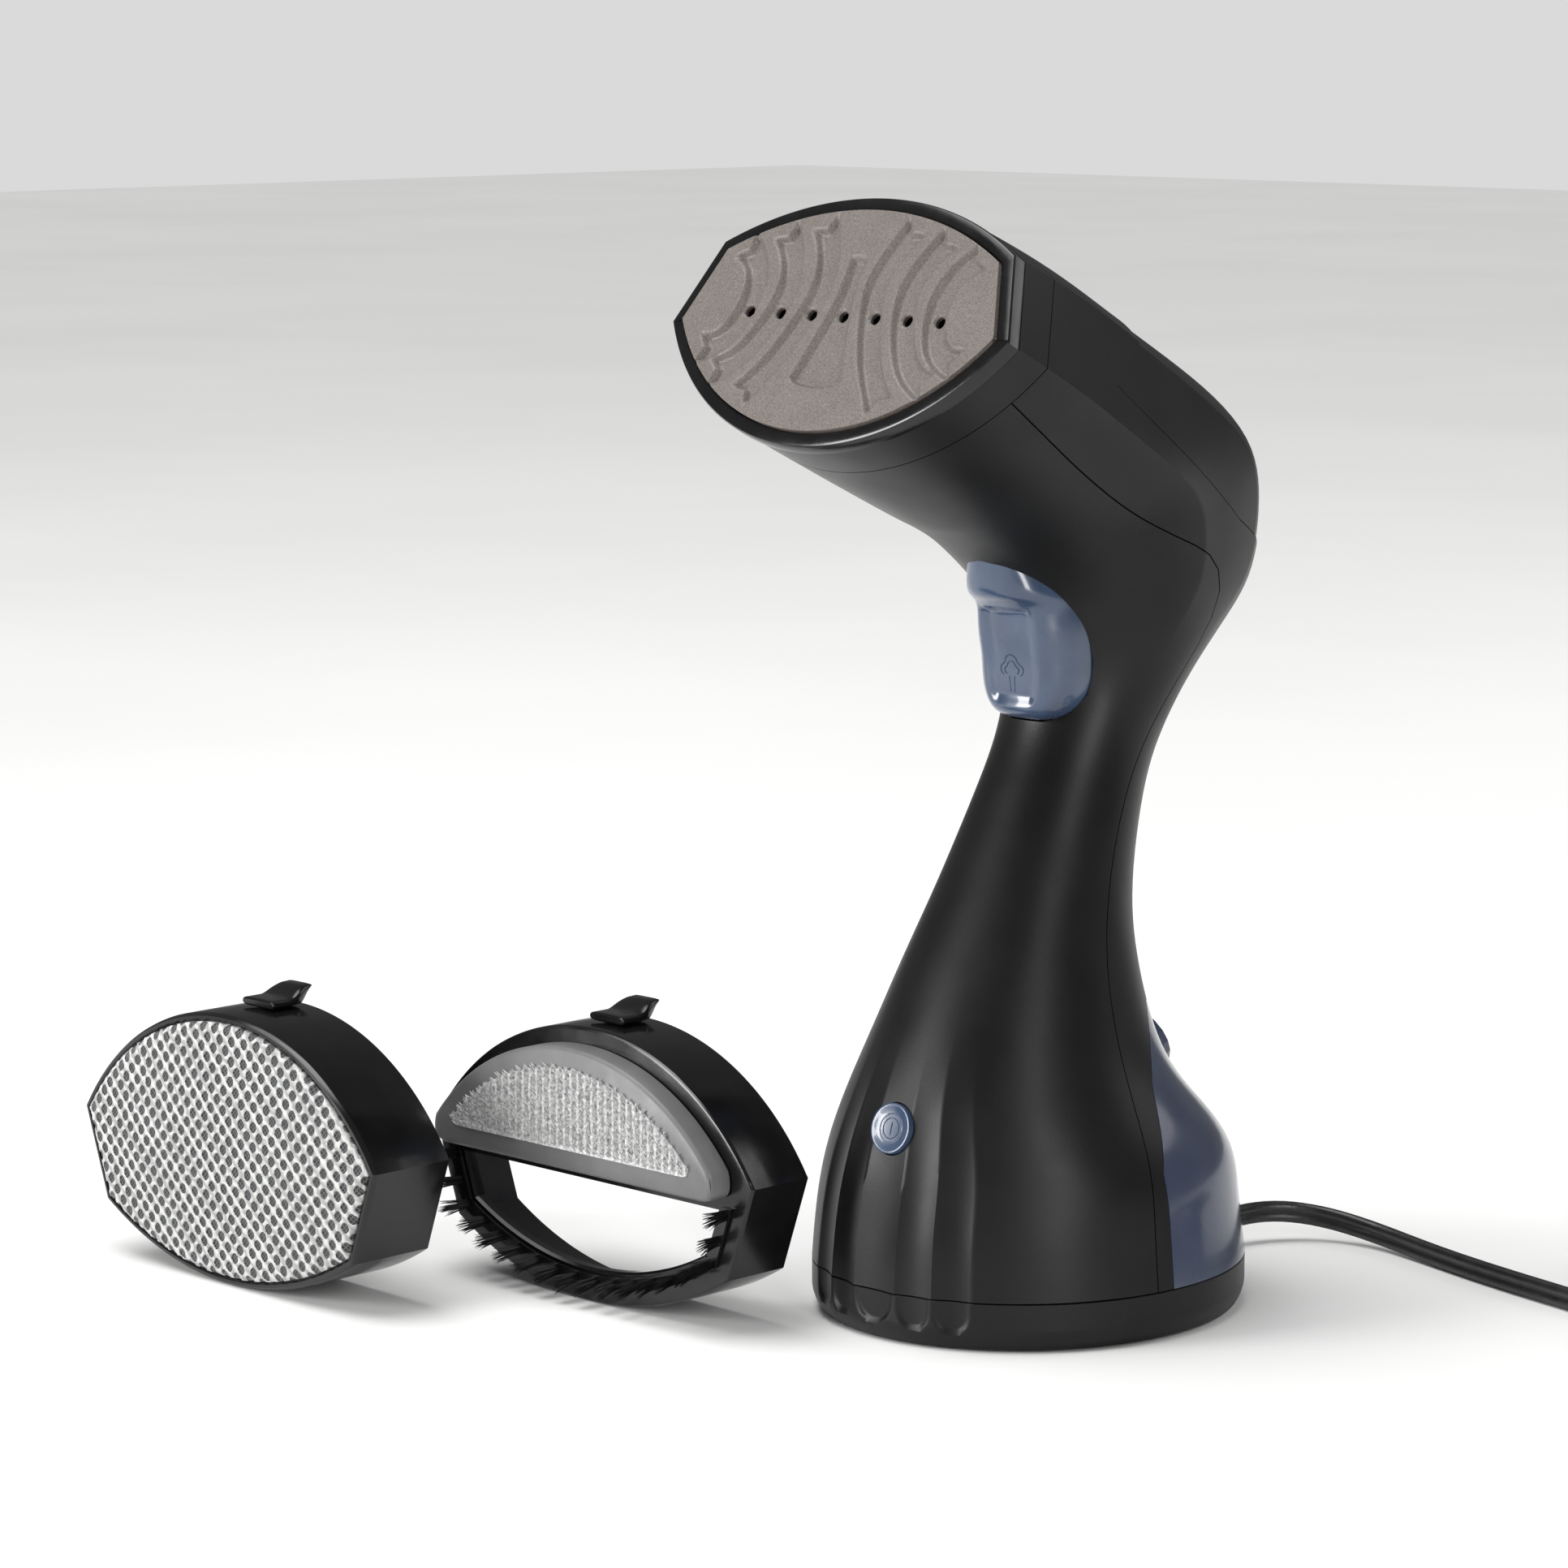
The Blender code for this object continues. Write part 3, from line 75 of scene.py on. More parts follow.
def smooth_line(points, spacing):
    """Points a given distance apart on a natural cubic curve through the given ones."""
    rows = np.array(points, dtype=float)
    count = len(rows)
    steps = np.linalg.norm(np.diff(rows, axis=0), axis=1)
    knots = np.concatenate(((0.0,), np.cumsum(steps)))
    system = np.eye(count)
    right = np.zeros_like(rows)
    slopes = np.diff(rows, axis=0) / steps[:, None]
    for i in range(1, count - 1):
        system[i, i - 1:i + 2] = (steps[i - 1], 2.0 * (steps[i - 1] + steps[i]), steps[i])
        right[i] = 6.0 * (slopes[i] - slopes[i - 1])
    bend = np.linalg.solve(system, right)
    places = np.linspace(0.0, knots[-1], max(2, round(knots[-1] / spacing) + 1))
    span = np.clip(np.searchsorted(knots, places, side="right") - 1, 0, count - 2)
    h = steps[span][:, None]
    t = (places - knots[span])[:, None] / h
    s = 1.0 - t
    curve = ((s ** 3 - s) * bend[span] + (t ** 3 - t) * bend[span + 1]) * h * h / 6.0
    return s * rows[span] + t * rows[span + 1] + curve


def ease(share):
    """A soft step from 0 to 1."""
    share = np.clip(share, 0.0, 1.0)
    return share * share * (3.0 - 2.0 * share)


def lead_coil():
    """The stored turns: one layer wound inwards, one wound outwards on top of it, then over to the plug."""
    inner, outer = COIL_RADII
    start = math.atan2(LEAD_ROUTE[-1][1] - COIL_CENTRE[1], LEAD_ROUTE[-1][0] - COIL_CENTRE[0])
    climb = 0.12
    end_turn = 2 * COIL_TURNS + math.ceil(-start / (2.0 * math.pi) * 100) / 100
    turns = np.arange(1.0 / 90.0, end_turn, 1.0 / 90.0)
    inward = outer - (outer - inner) * np.minimum(turns, COIL_TURNS) / COIL_TURNS
    outward = (outer - inner) * np.clip(turns - COIL_TURNS, 0.0, COIL_TURNS) / COIL_TURNS
    lead_in = (COIL_FIRST_RADIUS - outer) * (1.0 - ease(turns / 0.3))
    radius = inward + outward + lead_in
    low = LEAD_ROUTE[-1][2]
    layers = ease((turns - COIL_TURNS + climb) / (2 * climb)) + ease((turns - 7.75) / 0.4)
    angle = start + 2.0 * math.pi * turns
    return np.stack((COIL_CENTRE[0] + radius * np.cos(angle), COIL_CENTRE[1] + radius * np.sin(angle),
                     low + COIL_LAYER * layers), 1)


def lead_line():
    """The lead's centre line from the strain relief to the plug."""
    free = smooth_line(LEAD_ROUTE, 3.0)
    coil = lead_coil()
    last = coil[-1]
    bend = last[0] - PLUG_ENTRY[0]
    share = np.arange(1, 13) / 12
    turn = np.radians(90.0) * share
    quarter = np.stack((PLUG_ENTRY[0] + bend * np.cos(turn), last[1] + (PLUG_ENTRY[1] - last[1]) * np.sin(turn),
                        last[2] + (PLUG_ENTRY[2] - last[2]) * ease(share)), 1)
    return smooth_line(np.concatenate((free[:-1], coil, quarter)), 2.5)


def flex_section():
    """Outline of the flat twin flex, as (across, upright) rows."""
    rows = []
    reach = LEAD_WIDTH / 2.0 - LEAD_WIRE_RADIUS
    for side in (1.0, -1.0):
        for i in range(11):
            turn = math.radians(-52.0 + 284.0 * i / 10)
            rows.append((side * LEAD_WIRE_RADIUS * math.cos(turn),
                         side * (reach + LEAD_WIRE_RADIUS * math.sin(turn))))
    return np.array(rows)


def make_object(name, bm, material=None):
    """A named object from a bmesh in millimetres."""
    bmesh.ops.recalc_face_normals(bm, faces=bm.faces)
    bm.transform(Matrix.Scale(MM, 4))
    mesh = bpy.data.meshes.new(name)
    bm.to_mesh(mesh)
    bm.free()
    mesh.shade_smooth()
    mesh.set_sharp_from_angle(angle=SHARP_ANGLE)
    if material is not None:
        mesh.materials.append(material)
    piece = bpy.data.objects.new(name, mesh)
    bpy.context.scene.collection.objects.link(piece)
    return piece


def loft(name, rings, material=None, closed=False):
    """A body through rings with equal numbers of points; a closed one has no end caps."""
    bm = bmesh.new()
    loops = [[bm.verts.new(p) for p in ring] for ring in rings]
    pairs = list(zip(loops, loops[1:]))
    if closed:
        pairs.append((loops[-1], loops[0]))
    for lower, upper in pairs:
        for i in range(len(lower)):
            j = (i + 1) % len(lower)
            bm.faces.new((lower[i], lower[j], upper[j], upper[i]))
    if not closed:
        bm.faces.new(loops[0][::-1])
        bm.faces.new(loops[-1])
    return make_object(name, bm, material)


def linear(colour):
    """A hex colour as linear red, green, blue and alpha."""
    parts = [int(colour[i:i + 2], 16) / 255.0 for i in (1, 3, 5)]
    return tuple(c / 12.92 if c <= 0.04045 else ((c + 0.055) / 1.055) ** 2.4 for c in parts) + (1.0,)


def add_node(tree, kind, feeds=None, **settings):
    """A node with its settings, and its sockets set to values or linked to other nodes' outputs."""
    node = tree.nodes.new(kind)
    for key, value in settings.items():
        setattr(node, key, value)
    for socket, feed in (feeds or {}).items():
        if isinstance(feed, bpy.types.NodeSocket):
            tree.links.new(feed, node.inputs[socket])
        else:
            node.inputs[socket].default_value = feed
    return node


def new_finish(name, fixed, tones=None, gloss=None, skin=None, ends=(0.35, 0.65)):
    """A material with its shader's fixed values set. Clouds of a given grain vary its colour between two
    tones, its roughness between two values (gloss) and its height by a depth (skin), in millimetres."""
    material = bpy.data.materials.new(name)
    material.use_nodes = True
    tree = material.node_tree
    shader = tree.nodes["Principled BSDF"]
    for socket, value in fixed.items():
        shader.inputs[socket].default_value = value
    place = add_node(tree, "ShaderNodeTexCoord").outputs["Object"]
    if tones:
        grain, *colours = tones
        cloud = add_node(tree, "ShaderNodeTexNoise", {"Vector": place, "Scale": 1.0 / (grain * MM),
                                                      "Detail": 3.0})
        ramp = add_node(tree, "ShaderNodeValToRGB", {"Fac": cloud.outputs["Fac"]})
        for stop, end, colour in zip(ramp.color_ramp.elements, ends, colours):
            stop.position, stop.color = end, linear(colour)
        tree.links.new(ramp.outputs["Color"], shader.inputs["Base Color"])
    if gloss:
        grain, low, high = gloss
        cloud = add_node(tree, "ShaderNodeTexNoise", {"Vector": place, "Scale": 1.0 / (grain * MM),
                                                      "Detail": 2.0})
        spread = add_node(tree, "ShaderNodeMapRange", {"Value": cloud.outputs["Fac"], "From Min": 0.3,
                                                       "From Max": 0.7, "To Min": low, "To Max": high})
        tree.links.new(spread.outputs["Result"], shader.inputs["Roughness"])
    if skin:
        grain, depth, detail = skin
        cloud = add_node(tree, "ShaderNodeTexNoise", {"Vector": place, "Scale": 1.0 / (grain * MM),
                                                      "Detail": detail})
        rise = add_node(tree, "ShaderNodeMapRange", {"Value": cloud.outputs["Fac"], "From Min": 0.3,
                                                     "From Max": 0.7})
        bump = add_node(tree, "ShaderNodeBump", {"Height": rise.outputs["Result"], "Distance": depth * MM})
        tree.links.new(bump.outputs["Normal"], shader.inputs["Normal"])
    return material


def carry(piece, body):
    """Gives a piece its body."""
    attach(piece, body)


def put_on(piece, body, slot, *nodes):
    """A finished piece stands for its parts and moves with their body."""
    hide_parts(*nodes)
    carry(piece, body)


# Black PVC, extruded: an even satin skin with faint lengthwise unevenness.
black_pvc = new_finish("extruded black PVC", {"IOR": 1.53}, (3.0, "#151515", "#1f1f20"), (5.0, 0.3, 0.45),
                       (1.2, 0.03, 2.0))
line = lead_line()
step = np.gradient(line, axis=0)
step /= np.linalg.norm(step, axis=1)[:, None]
beside = np.cross(step, (0.0, 0.0, 1.0))
beside /= np.linalg.norm(beside, axis=1)[:, None]
upright = np.cross(beside, step)
section = flex_section()
lead = loft("lead", [p + np.outer(section[:, 0], b) + np.outer(section[:, 1], u)
                     for p, b, u in zip(line, beside, upright)], black_pvc)
put_on(lead, "root", "flex_black", "cord", "cord_coil")


# The plug: a black moulded grip with ridges, a ribbed tail on the flex, and two plated brass blades.
PLUG_FRONT = PLUG_ENTRY[0] - 54.0
PLUG_BACK = PLUG_ENTRY[0] - 20.0


def rounded(half_across, half_up, power=4.0, points=40):
    """A rounded rectangle's outline, as (across, up) rows."""
    turns = [2.0 * math.pi * i / points for i in range(points)]
    return [(half_across * math.copysign(abs(math.cos(t)) ** (2 / power), math.cos(t)),
             half_up * math.copysign(abs(math.sin(t)) ** (2 / power), math.sin(t))) for t in turns]


def plug_ring(x, *sizes):
    """A rounded ring across the plug's axis."""
    return [(x, PLUG_ENTRY[1] + across, PLUG_ENTRY[2] + up) for across, up in rounded(*sizes)]


def plug_grip():
    rings = []
    for share in np.linspace(0.0, 1.0, 45):
        end = min(share, 1.0 - share)
        pinch = 1.0 - 0.16 * (1.0 - ease(end / 0.05)) - 0.22 * ease((share - 0.45) / 0.5)
        ridge = 0.35 * abs(math.sin(6.0 * math.pi * (share - 0.45) / 0.4)) if 0.45 < share < 0.85 else 0.0
        rings.append(plug_ring(PLUG_FRONT + (PLUG_BACK - PLUG_FRONT) * share, 11.4 * pinch + ridge,
                               6.3 * pinch + ridge))
    return rings


def plug_tail():
    rings = []
    for number in range(61):
        share = number / 60
        slot = 0.55 if number % 10 in (5, 6, 7) else 0.0
        rings.append(plug_ring(PLUG_BACK + 0.3 + (PLUG_ENTRY[0] - PLUG_BACK - 0.3) * share,
                               3.4 - 1.2 * share - slot, 4.6 - 1.4 * share - slot, 2.6, 28))
    return rings


def soften(piece, width_mm, segments=3, angle=40.0):
    """Rounds a piece's sharp edges."""
    bevel = piece.modifiers.new("rounded edges", "BEVEL")
    bevel.width = width_mm * MM
    bevel.segments = segments
    bevel.limit_method = "ANGLE"
    bevel.angle_limit = math.radians(angle)


def refinish(material, *names):
    """Carried-over parts take a finish of their own."""
    for name in names:
        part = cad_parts[name]
        part.data.materials.clear()
        part.data.materials.append(material)


grip = loft("plug_grip", plug_grip(), black_pvc)
put_on(grip, "root", "flex_black", "plug_body")
tail = loft("plug_tail", plug_tail(), black_pvc)
put_on(tail, "root", "flex_black", "plug_relief")
# Nickel-plated brass, stamped and polished: bright, slightly warm, with fine wear.
refinish(new_finish("nickel-plated brass", {"Metallic": 1.0}, (2.0, "#b9b09a", "#cdc7b8"), (0.8, 0.16, 0.34)),
         "plug_blade_left", "plug_blade_right")
refinish(black_pvc, "strain_relief")
blades = [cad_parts[name] for name in ("plug_blade_left", "plug_blade_right")]
for blade in blades:
    soften(blade, 0.4)


# ---- Body shells -----------------------------------------------------------------------------------------
# The front and rear halves of the body, the cover on the back of the head and the nose collar, injection
# moulded in black ABS about 2.4 mm thick and screwed together from the inside. Five flutes run up the front.
WALL = 2.4
GAP = 0.3
FIT = 0.5
HEAD_TILT = math.radians(28.4)
PLATE_CENTRE = (-66.7, 246.2)
HEAD_CORNER = (54.2, -4.2)
HEAD_SHOULDER = (46.6, 17.4)
HEAD_TOP = 30.4
HEAD_BOTTOM = -33.4
COLLAR_DEPTHS = (4.3, 16.0)
RING_TOP = 12.2
BASE_ELLIPSE = (51.3, 56.0, 0.7)      # half width, half length, y of the middle
SHELL_POINTS = 480
COARSE_POINTS = 72
FLUTE_EDGES = (-30.0, -18.75, -7.5, 7.5, 18.75, 30.0)
FLUTE_DEPTH = 1.0
FLUTE_FADE = (24.0, 76.0)
BODY_SECTIONS = (
    ((-55.3, 12.5), (56.7, 12.5), 51.3, 0.5, 0.0),
    ((-54.0, 27.0), (54.8, 27.0), 49.9, 0.5, 0.0),
    ((-51.2, 41.0), (51.2, 41.0), 47.2, 0.5, 0.0),
    ((-47.1, 55.5), (38.3, 55.5), 39.9, 0.5, 0.0),
    ((-41.2, 70.0), (30.2, 70.0), 33.3, 0.5, 0.0),
    ((-32.6, 87.5), (26.5, 87.5), 27.6, 0.5, 0.0),
    ((-22.8, 105.0), (26.8, 105.0), 23.2, 0.5, 0.0),
    ((-11.0, 126.0), (32.0, 126.0), 20.1, 0.5, 0.0),
    ((-3.4, 141.0), (39.2, 141.0), 19.6, 0.5, 0.0),
    ((0.0, 155.0), (49.6, 155.0), 21.8, 0.5, 0.0),
    ((-3.0, 168.0), (61.0, 168.0), 26.0, 0.52, 0.1),
    ((-10.0, 178.0), (65.5, 181.0), 32.0, 0.58, 0.3),
    ((-19.0, 185.5), (64.5, 200.0), 37.5, 0.6, 0.5),
    ((-25.0, 189.4), (57.0, 216.5), 41.0, 0.58, 0.7),
    ((-31.0, 192.4), (35.0, 232.0), 44.0, 0.54, 0.85),
    ((-37.4, 195.2), (2.7, 248.5), 47.0, 0.48, 1.0),
    ((-55.5, 203.8), (-24.4, 261.5), 51.0, 0.458, 1.0),
    ((-79.0, 215.3), (-48.7, 271.1), 54.2, 0.458, 1.0),
)
SEAM = ((-9.0, 5.0), (-9.0, 12.5), (-8.0, 40.0), (-5.5, 60.0), (-3.0, 84.0), (3.0, 105.0), (12.0, 126.0),
        (21.0, 141.0), (31.0, 155.0), (37.0, 167.0), (32.0, 181.0), (15.0, 190.5), (-10.0, 201.5),
        (-40.0, 217.5), (-62.0, 230.0), (-110.0, 257.0))
COVER_OUTLINE = ((-22.0, 230.0), (36.0, 193.5), (90.0, 168.0), (90.0, 300.0), (87.0, 300.0), (2.2, 245.5))
TANK_FRONT = ((-3.8, 12.5), (-3.8, 40.0), (3.6, 59.0), (16.0, 76.5))
TANK_TOP = 76.5


def smooth_rows(rows, count):
    """A given number of rows on the smooth line through the given ones."""
    spacing = np.linalg.norm(np.diff(rows, axis=0), axis=1).sum() / (count - 1)
    return smooth_line(rows, spacing)


def arc_point(crown, end, share):
    """A point on the circle arc from crown, on the centre line, to end."""
    drop = crown - end[1]
    radius = (end[0] ** 2 + drop ** 2) / (2.0 * abs(drop))
    sweep = math.asin(end[0] / radius) * share
    side = math.copysign(1.0, drop)
    return radius * math.sin(sweep), crown - side * radius * (1.0 - math.cos(sweep))


def head_outline(offset=0.0, points=COARSE_POINTS):
    """The head's outline as (u, v) rows from the bottom, turning towards +u, moved out by offset."""
    half = points // 2
    first = round(half * 8 / 18)
    last = round(half * 11 / 18)
    corner, shoulder = np.array(HEAD_CORNER), np.array(HEAD_SHOULDER)
    rows = [arc_point(HEAD_BOTTOM, HEAD_CORNER, i / first) for i in range(first + 1)]
    rows += [corner + (shoulder - corner) * (i - first) / (last - first) for i in range(first + 1, last)]
    rows += [arc_point(HEAD_TOP, HEAD_SHOULDER, 1.0 - i / (half - last)) for i in range(half - last + 1)]
    rows = np.array(rows)
    ring = np.concatenate((rows, rows[-2:0:-1] * (-1.0, 1.0)))
    into = ring - np.roll(ring, 1, axis=0)
    into /= np.linalg.norm(into, axis=1)[:, None]
    mean = into + np.roll(into, -1, axis=0)
    mean /= np.linalg.norm(mean, axis=1)[:, None]
    normal = np.stack((mean[:, 1], -mean[:, 0]), axis=1)
    return ring + normal * (offset / (mean * into).sum(axis=1))[:, None]


def head_point(u, v, depth):
    """Place of a point on the head: u across, v up the steam plate, depth behind it."""
    c, s = math.cos(HEAD_TILT), math.sin(HEAD_TILT)
    return u, PLATE_CENTRE[0] + depth * c + v * s, PLATE_CENTRE[1] - depth * s + v * c


def body_section(section, inset, points):
    """One ring of the body: an ellipse low down that becomes the head's outline towards the nose."""
    front_y, front_z, rear_y, rear_z, half_width, widest, headness = section
    front, rear = np.array((front_y, front_z)), np.array((rear_y, rear_z))
    along = (rear - front) / np.linalg.norm(rear - front)
    front = front + along * inset
    length = np.linalg.norm(rear - front) - inset
    u, v = head_outline(points=points).T
    turn = 2.0 * np.pi * np.arange(points) / points
    fall = -np.cos(turn)
    round_place = np.where(fall < 0.0, widest * (1.0 + fall), widest + (1.0 - widest) * fall)
    across = (1.0 - headness) * np.sin(turn) + headness * u / HEAD_CORNER[0]
    place = (1.0 - headness) * round_place + headness * (v - HEAD_BOTTOM) / (HEAD_TOP - HEAD_BOTTOM)
    yz = front + np.outer(place * length, along)
    return np.column_stack((across * (half_width - inset), yz))


def pressed(ring, fade):
    """Presses the flutes' hollows into the front of a ring of points. fade(across, half) gives the share of
    its depth that a flute has at each point: across runs from -1 to 1, half is half its angle."""
    turn = np.degrees(2.0 * np.pi * np.arange(len(ring)) / len(ring))
    turn = np.where(turn > 180.0, turn - 360.0, turn)
    depth = np.zeros(len(ring))
    for low, high in zip(FLUTE_EDGES, FLUTE_EDGES[1:]):
        half = (high - low) / 2.0
        across = (turn - low - half) / half
        hollow_out = FLUTE_DEPTH * (1.0 - across ** 2) * (np.abs(across) <= 1.0)
        depth = np.maximum(depth, hollow_out * fade(across, half))
    inward = -ring * (1.0, 1.0, 0.0)
    inward /= np.linalg.norm(inward, axis=1)[:, None]
    return ring + inward * depth[:, None]


def flute(ring):
    """Five flutes that run up the front and die away."""
    low, high = FLUTE_FADE
    return pressed(ring, lambda across, half: 1.0 - ease((ring[:, 2] - low) / (high - low)))


def body_rings(inset=0.0, extend=0.0, points=COARSE_POINTS, spans=3):
    """The body's rings from base to nose, moved in by inset; extend carries both ends on."""
    rows = [(number * 1000.0, *front, *rear, *rest)
            for number, (front, rear, *rest) in enumerate(BODY_SECTIONS)]
    sections = smooth_rows(rows, (len(rows) - 1) * spans + 1)[:, 1:]
    rings = [body_section(section, inset, points) for section in sections]
    if extend:
        rings[0] = rings[0] - (0.0, 0.0, extend)
        rings[-1] = rings[-1] + (0.0, -extend * math.cos(HEAD_TILT), extend * math.sin(HEAD_TILT))
    return rings


def side_block(name, outline, half_width):
    """A side-view outline (y, z) made into a block across X."""
    return loft(name, [[(x, y, z) for y, z in outline] for x in (-half_width, half_width)])


def outline_block(name, profile, point, points=240, material=None, closed=False):
    """A body through rings on the head's outline, one for each (offset, depth)."""
    rings = [[point(u, v, depth) for u, v in head_outline(offset, points)] for offset, depth in profile]
    return loft(name, rings, material, closed)


def beside_curve(curve, distance):
    """A side-view curve moved to its left by a distance."""
    line = np.array(curve)
    step = np.gradient(line, axis=0)
    step /= np.linalg.norm(step, axis=1)[:, None]
    return [tuple(p) for p in line + np.stack((-step[:, 1], step[:, 0]), axis=1) * distance]


TOOLS = set()


def shape(piece, *steps):
    """Cuts, trims or joins a piece with tools and keeps the result; the tools stay for other pieces."""
    for operation, tool in steps:
        TOOLS.add(tool.name)
        boolean = piece.modifiers.new(tool.name, "BOOLEAN")
        boolean.operation = operation
        boolean.solver = "MANIFOLD"
        boolean.object = tool
    bpy.context.view_layer.update()
    mesh = bpy.data.meshes.new_from_object(piece.evaluated_get(bpy.context.evaluated_depsgraph_get()))
    piece.modifiers.clear()
    piece.data = mesh
    mesh.shade_smooth()
    mesh.set_sharp_from_angle(angle=SHARP_ANGLE)
    return piece


# ABS from a spark-eroded mould: satin, with a fine even grain, drawn at 0.5 mm so that it shows.
black_abs = new_finish("moulded black ABS", {"Specular IOR Level": 0.26}, (14.0, "#0c0c0d", "#101011"),
                       (20.0, 0.36, 0.44), (0.5, 0.006, 1.0))
fine_rings = [flute(ring) for ring in body_rings(points=SHELL_POINTS, spans=6)]
seam = smooth_line(SEAM, 7.0)
hollow = loft("hollow", body_rings(WALL, 8.0))
nose_block = outline_block("nose_block", ((12.0, -20.0), (12.0, COLLAR_DEPTHS[1] + GAP)), head_point,
                           COARSE_POINTS)
collar_block = outline_block("collar_block", [(12.0, depth) for depth in COLLAR_DEPTHS], head_point,
                             COARSE_POINTS)
front_side = side_block("front_side", beside_curve(seam, GAP / 2) + [(-130.0, 257.0), (-130.0, 5.0)], 70.0)
rear_side = side_block("rear_side", beside_curve(seam, -GAP / 2) + [(-130.0, 300.0), (120.0, 300.0),
                                                                    (120.0, 5.0)], 70.0)
tank_block = side_block("tank_block", beside_curve(TANK_FRONT, GAP)
                        + [(90.0, TANK_TOP + GAP), (90.0, 0.0), (TANK_FRONT[0][0] - GAP, 0.0)], 60.0)
cover_hole = side_block("cover_hole", COVER_OUTLINE, 70.0)
cover_centre = np.mean(np.array(COVER_OUTLINE), axis=0)
cover_block = side_block("cover_block", [tuple(cover_centre + (np.array(p) - cover_centre) * 0.99)
                                         for p in COVER_OUTLINE], 70.0)

TRIGGER_SECTIONS = ((145.5, 6.0, -2.5, 5.0), (147.5, 10.4, -6.4, 7.0), (152.0, 13.2, -8.1, 9.0),
                    (160.0, 14.4, -9.0, 11.0), (168.0, 14.8, -10.6, 12.0), (174.0, 14.3, -12.4, 12.0),
                    (176.5, 13.8, -15.6, 11.0), (181.0, 12.4, -17.2, 9.0), (186.5, 9.6, -18.6, 6.0))


def trigger_room():
    """The opening that the trigger moves in."""
    rings = []
    for number, (z, half, front, back) in enumerate(TRIGGER_SECTIONS):
        z += FIT * ((number == len(TRIGGER_SECTIONS) - 1) - (number == 0))
        half, front, back = half + FIT, front - FIT, back + 2.0 * FIT
        shoulder = back - 4.0
        ring = [(-half, back, z), (-half, shoulder, z)]
        ring += [(-half * math.cos(t), shoulder + (front - shoulder) * math.sin(t), z)
                 for t in (math.pi * i / 24 for i in range(1, 24))]
        rings.append(ring + [(half, shoulder, z), (half, back, z)])
    return loft("trigger_room", rings)


BUTTON_PLACE = (-48.5, 50.9)
BUTTON_TILT = math.radians(16.0)
BUTTON_RADIUS = 6.2


def button_point(out, across=0.0, up=0.0):
    """A place by the power button: out of the shell, across it and up it."""
    c, s = math.cos(BUTTON_TILT), math.sin(BUTTON_TILT)
    return across, BUTTON_PLACE[0] - out * c + up * s, BUTTON_PLACE[1] + out * s + up * c


def button_rings(profile, points=64):
    """Rings of the given (radius, out) profile about the power button's axis."""
    turns = [2.0 * math.pi * i / points for i in range(points)]
    return [[button_point(out, radius * math.cos(t), radius * math.sin(t)) for t in turns]
            for radius, out in profile]


button_room = loft("button_room", button_rings(((BUTTON_RADIUS + GAP, -8.0), (BUTTON_RADIUS + GAP, 20.0))))
cover_rings = body_rings(0.45, 0.0, SHELL_POINTS, 6)
for name, node, rings, room, holes in (
        ("front_half", "front_shell", fine_rings, front_side, (nose_block, trigger_room(), button_room)),
        ("rear_half", "rear_shell", fine_rings, rear_side, (nose_block, cover_hole, tank_block)),
        ("back_cover", "top_cover", cover_rings, cover_block, ()),
        ("collar", "nose_collar", fine_rings, collar_block, ())):
    shell = loft(name, rings, black_abs)
    shape(shell, ("DIFFERENCE", hollow), ("INTERSECT", room), *[("DIFFERENCE", hole) for hole in holes])
    put_on(shell, "root", "shell_black", node)


# ---- Steam plate and rim ---------------------------------------------------------------------------------
# The sole plate is die-cast aluminium with a warm grey ceramic coat. Seven steam holes lie in seven pressed
# channels, three bowed ones a side and a funnel in the middle, and a gloss black rim holds it by its edge.
RIM_WIDTH = 3.4
RIM_DEPTH = 4.0
PLATE_PROUD = 0.8
PLATE_THICKNESS = 3.0
PLATE_GRID = 0.32
SPECKLE = 0.35
HOLE_PITCH = 10.2
HOLE_RADIUS = 1.7
CHANNEL_DEPTH = 1.6
CHANNEL_HALF_WIDTH = 3.7
CHANNEL_WALL = 1.7
CHANNEL_LINES = (
    ((15.4, 24.0), (9.8, 13.5), (8.6, 7.0), (10.0, 0.0), (12.4, -6.5), (16.0, -13.5), (20.0, -19.0),
     (23.4, -23.2)),
    ((27.2, 21.4), (21.2, 12.8), (19.5, 6.5), (20.4, 0.0), (23.2, -6.7), (27.4, -12.5), (31.6, -15.4),
     (36.0, -17.0)),
    ((39.0, 17.0), (32.6, 11.6), (30.3, 6.2), (30.4, 0.0), (32.0, -4.6), (34.8, -8.2), (38.4, -10.2),
     (42.6, -11.0)),
)
FUNNEL = ((15.4, 3.3), (11.0, 2.9), (5.0, 2.9), (-3.0, 4.6), (-10.0, 6.5), (-16.5, 8.6), (-19.6, 9.4))


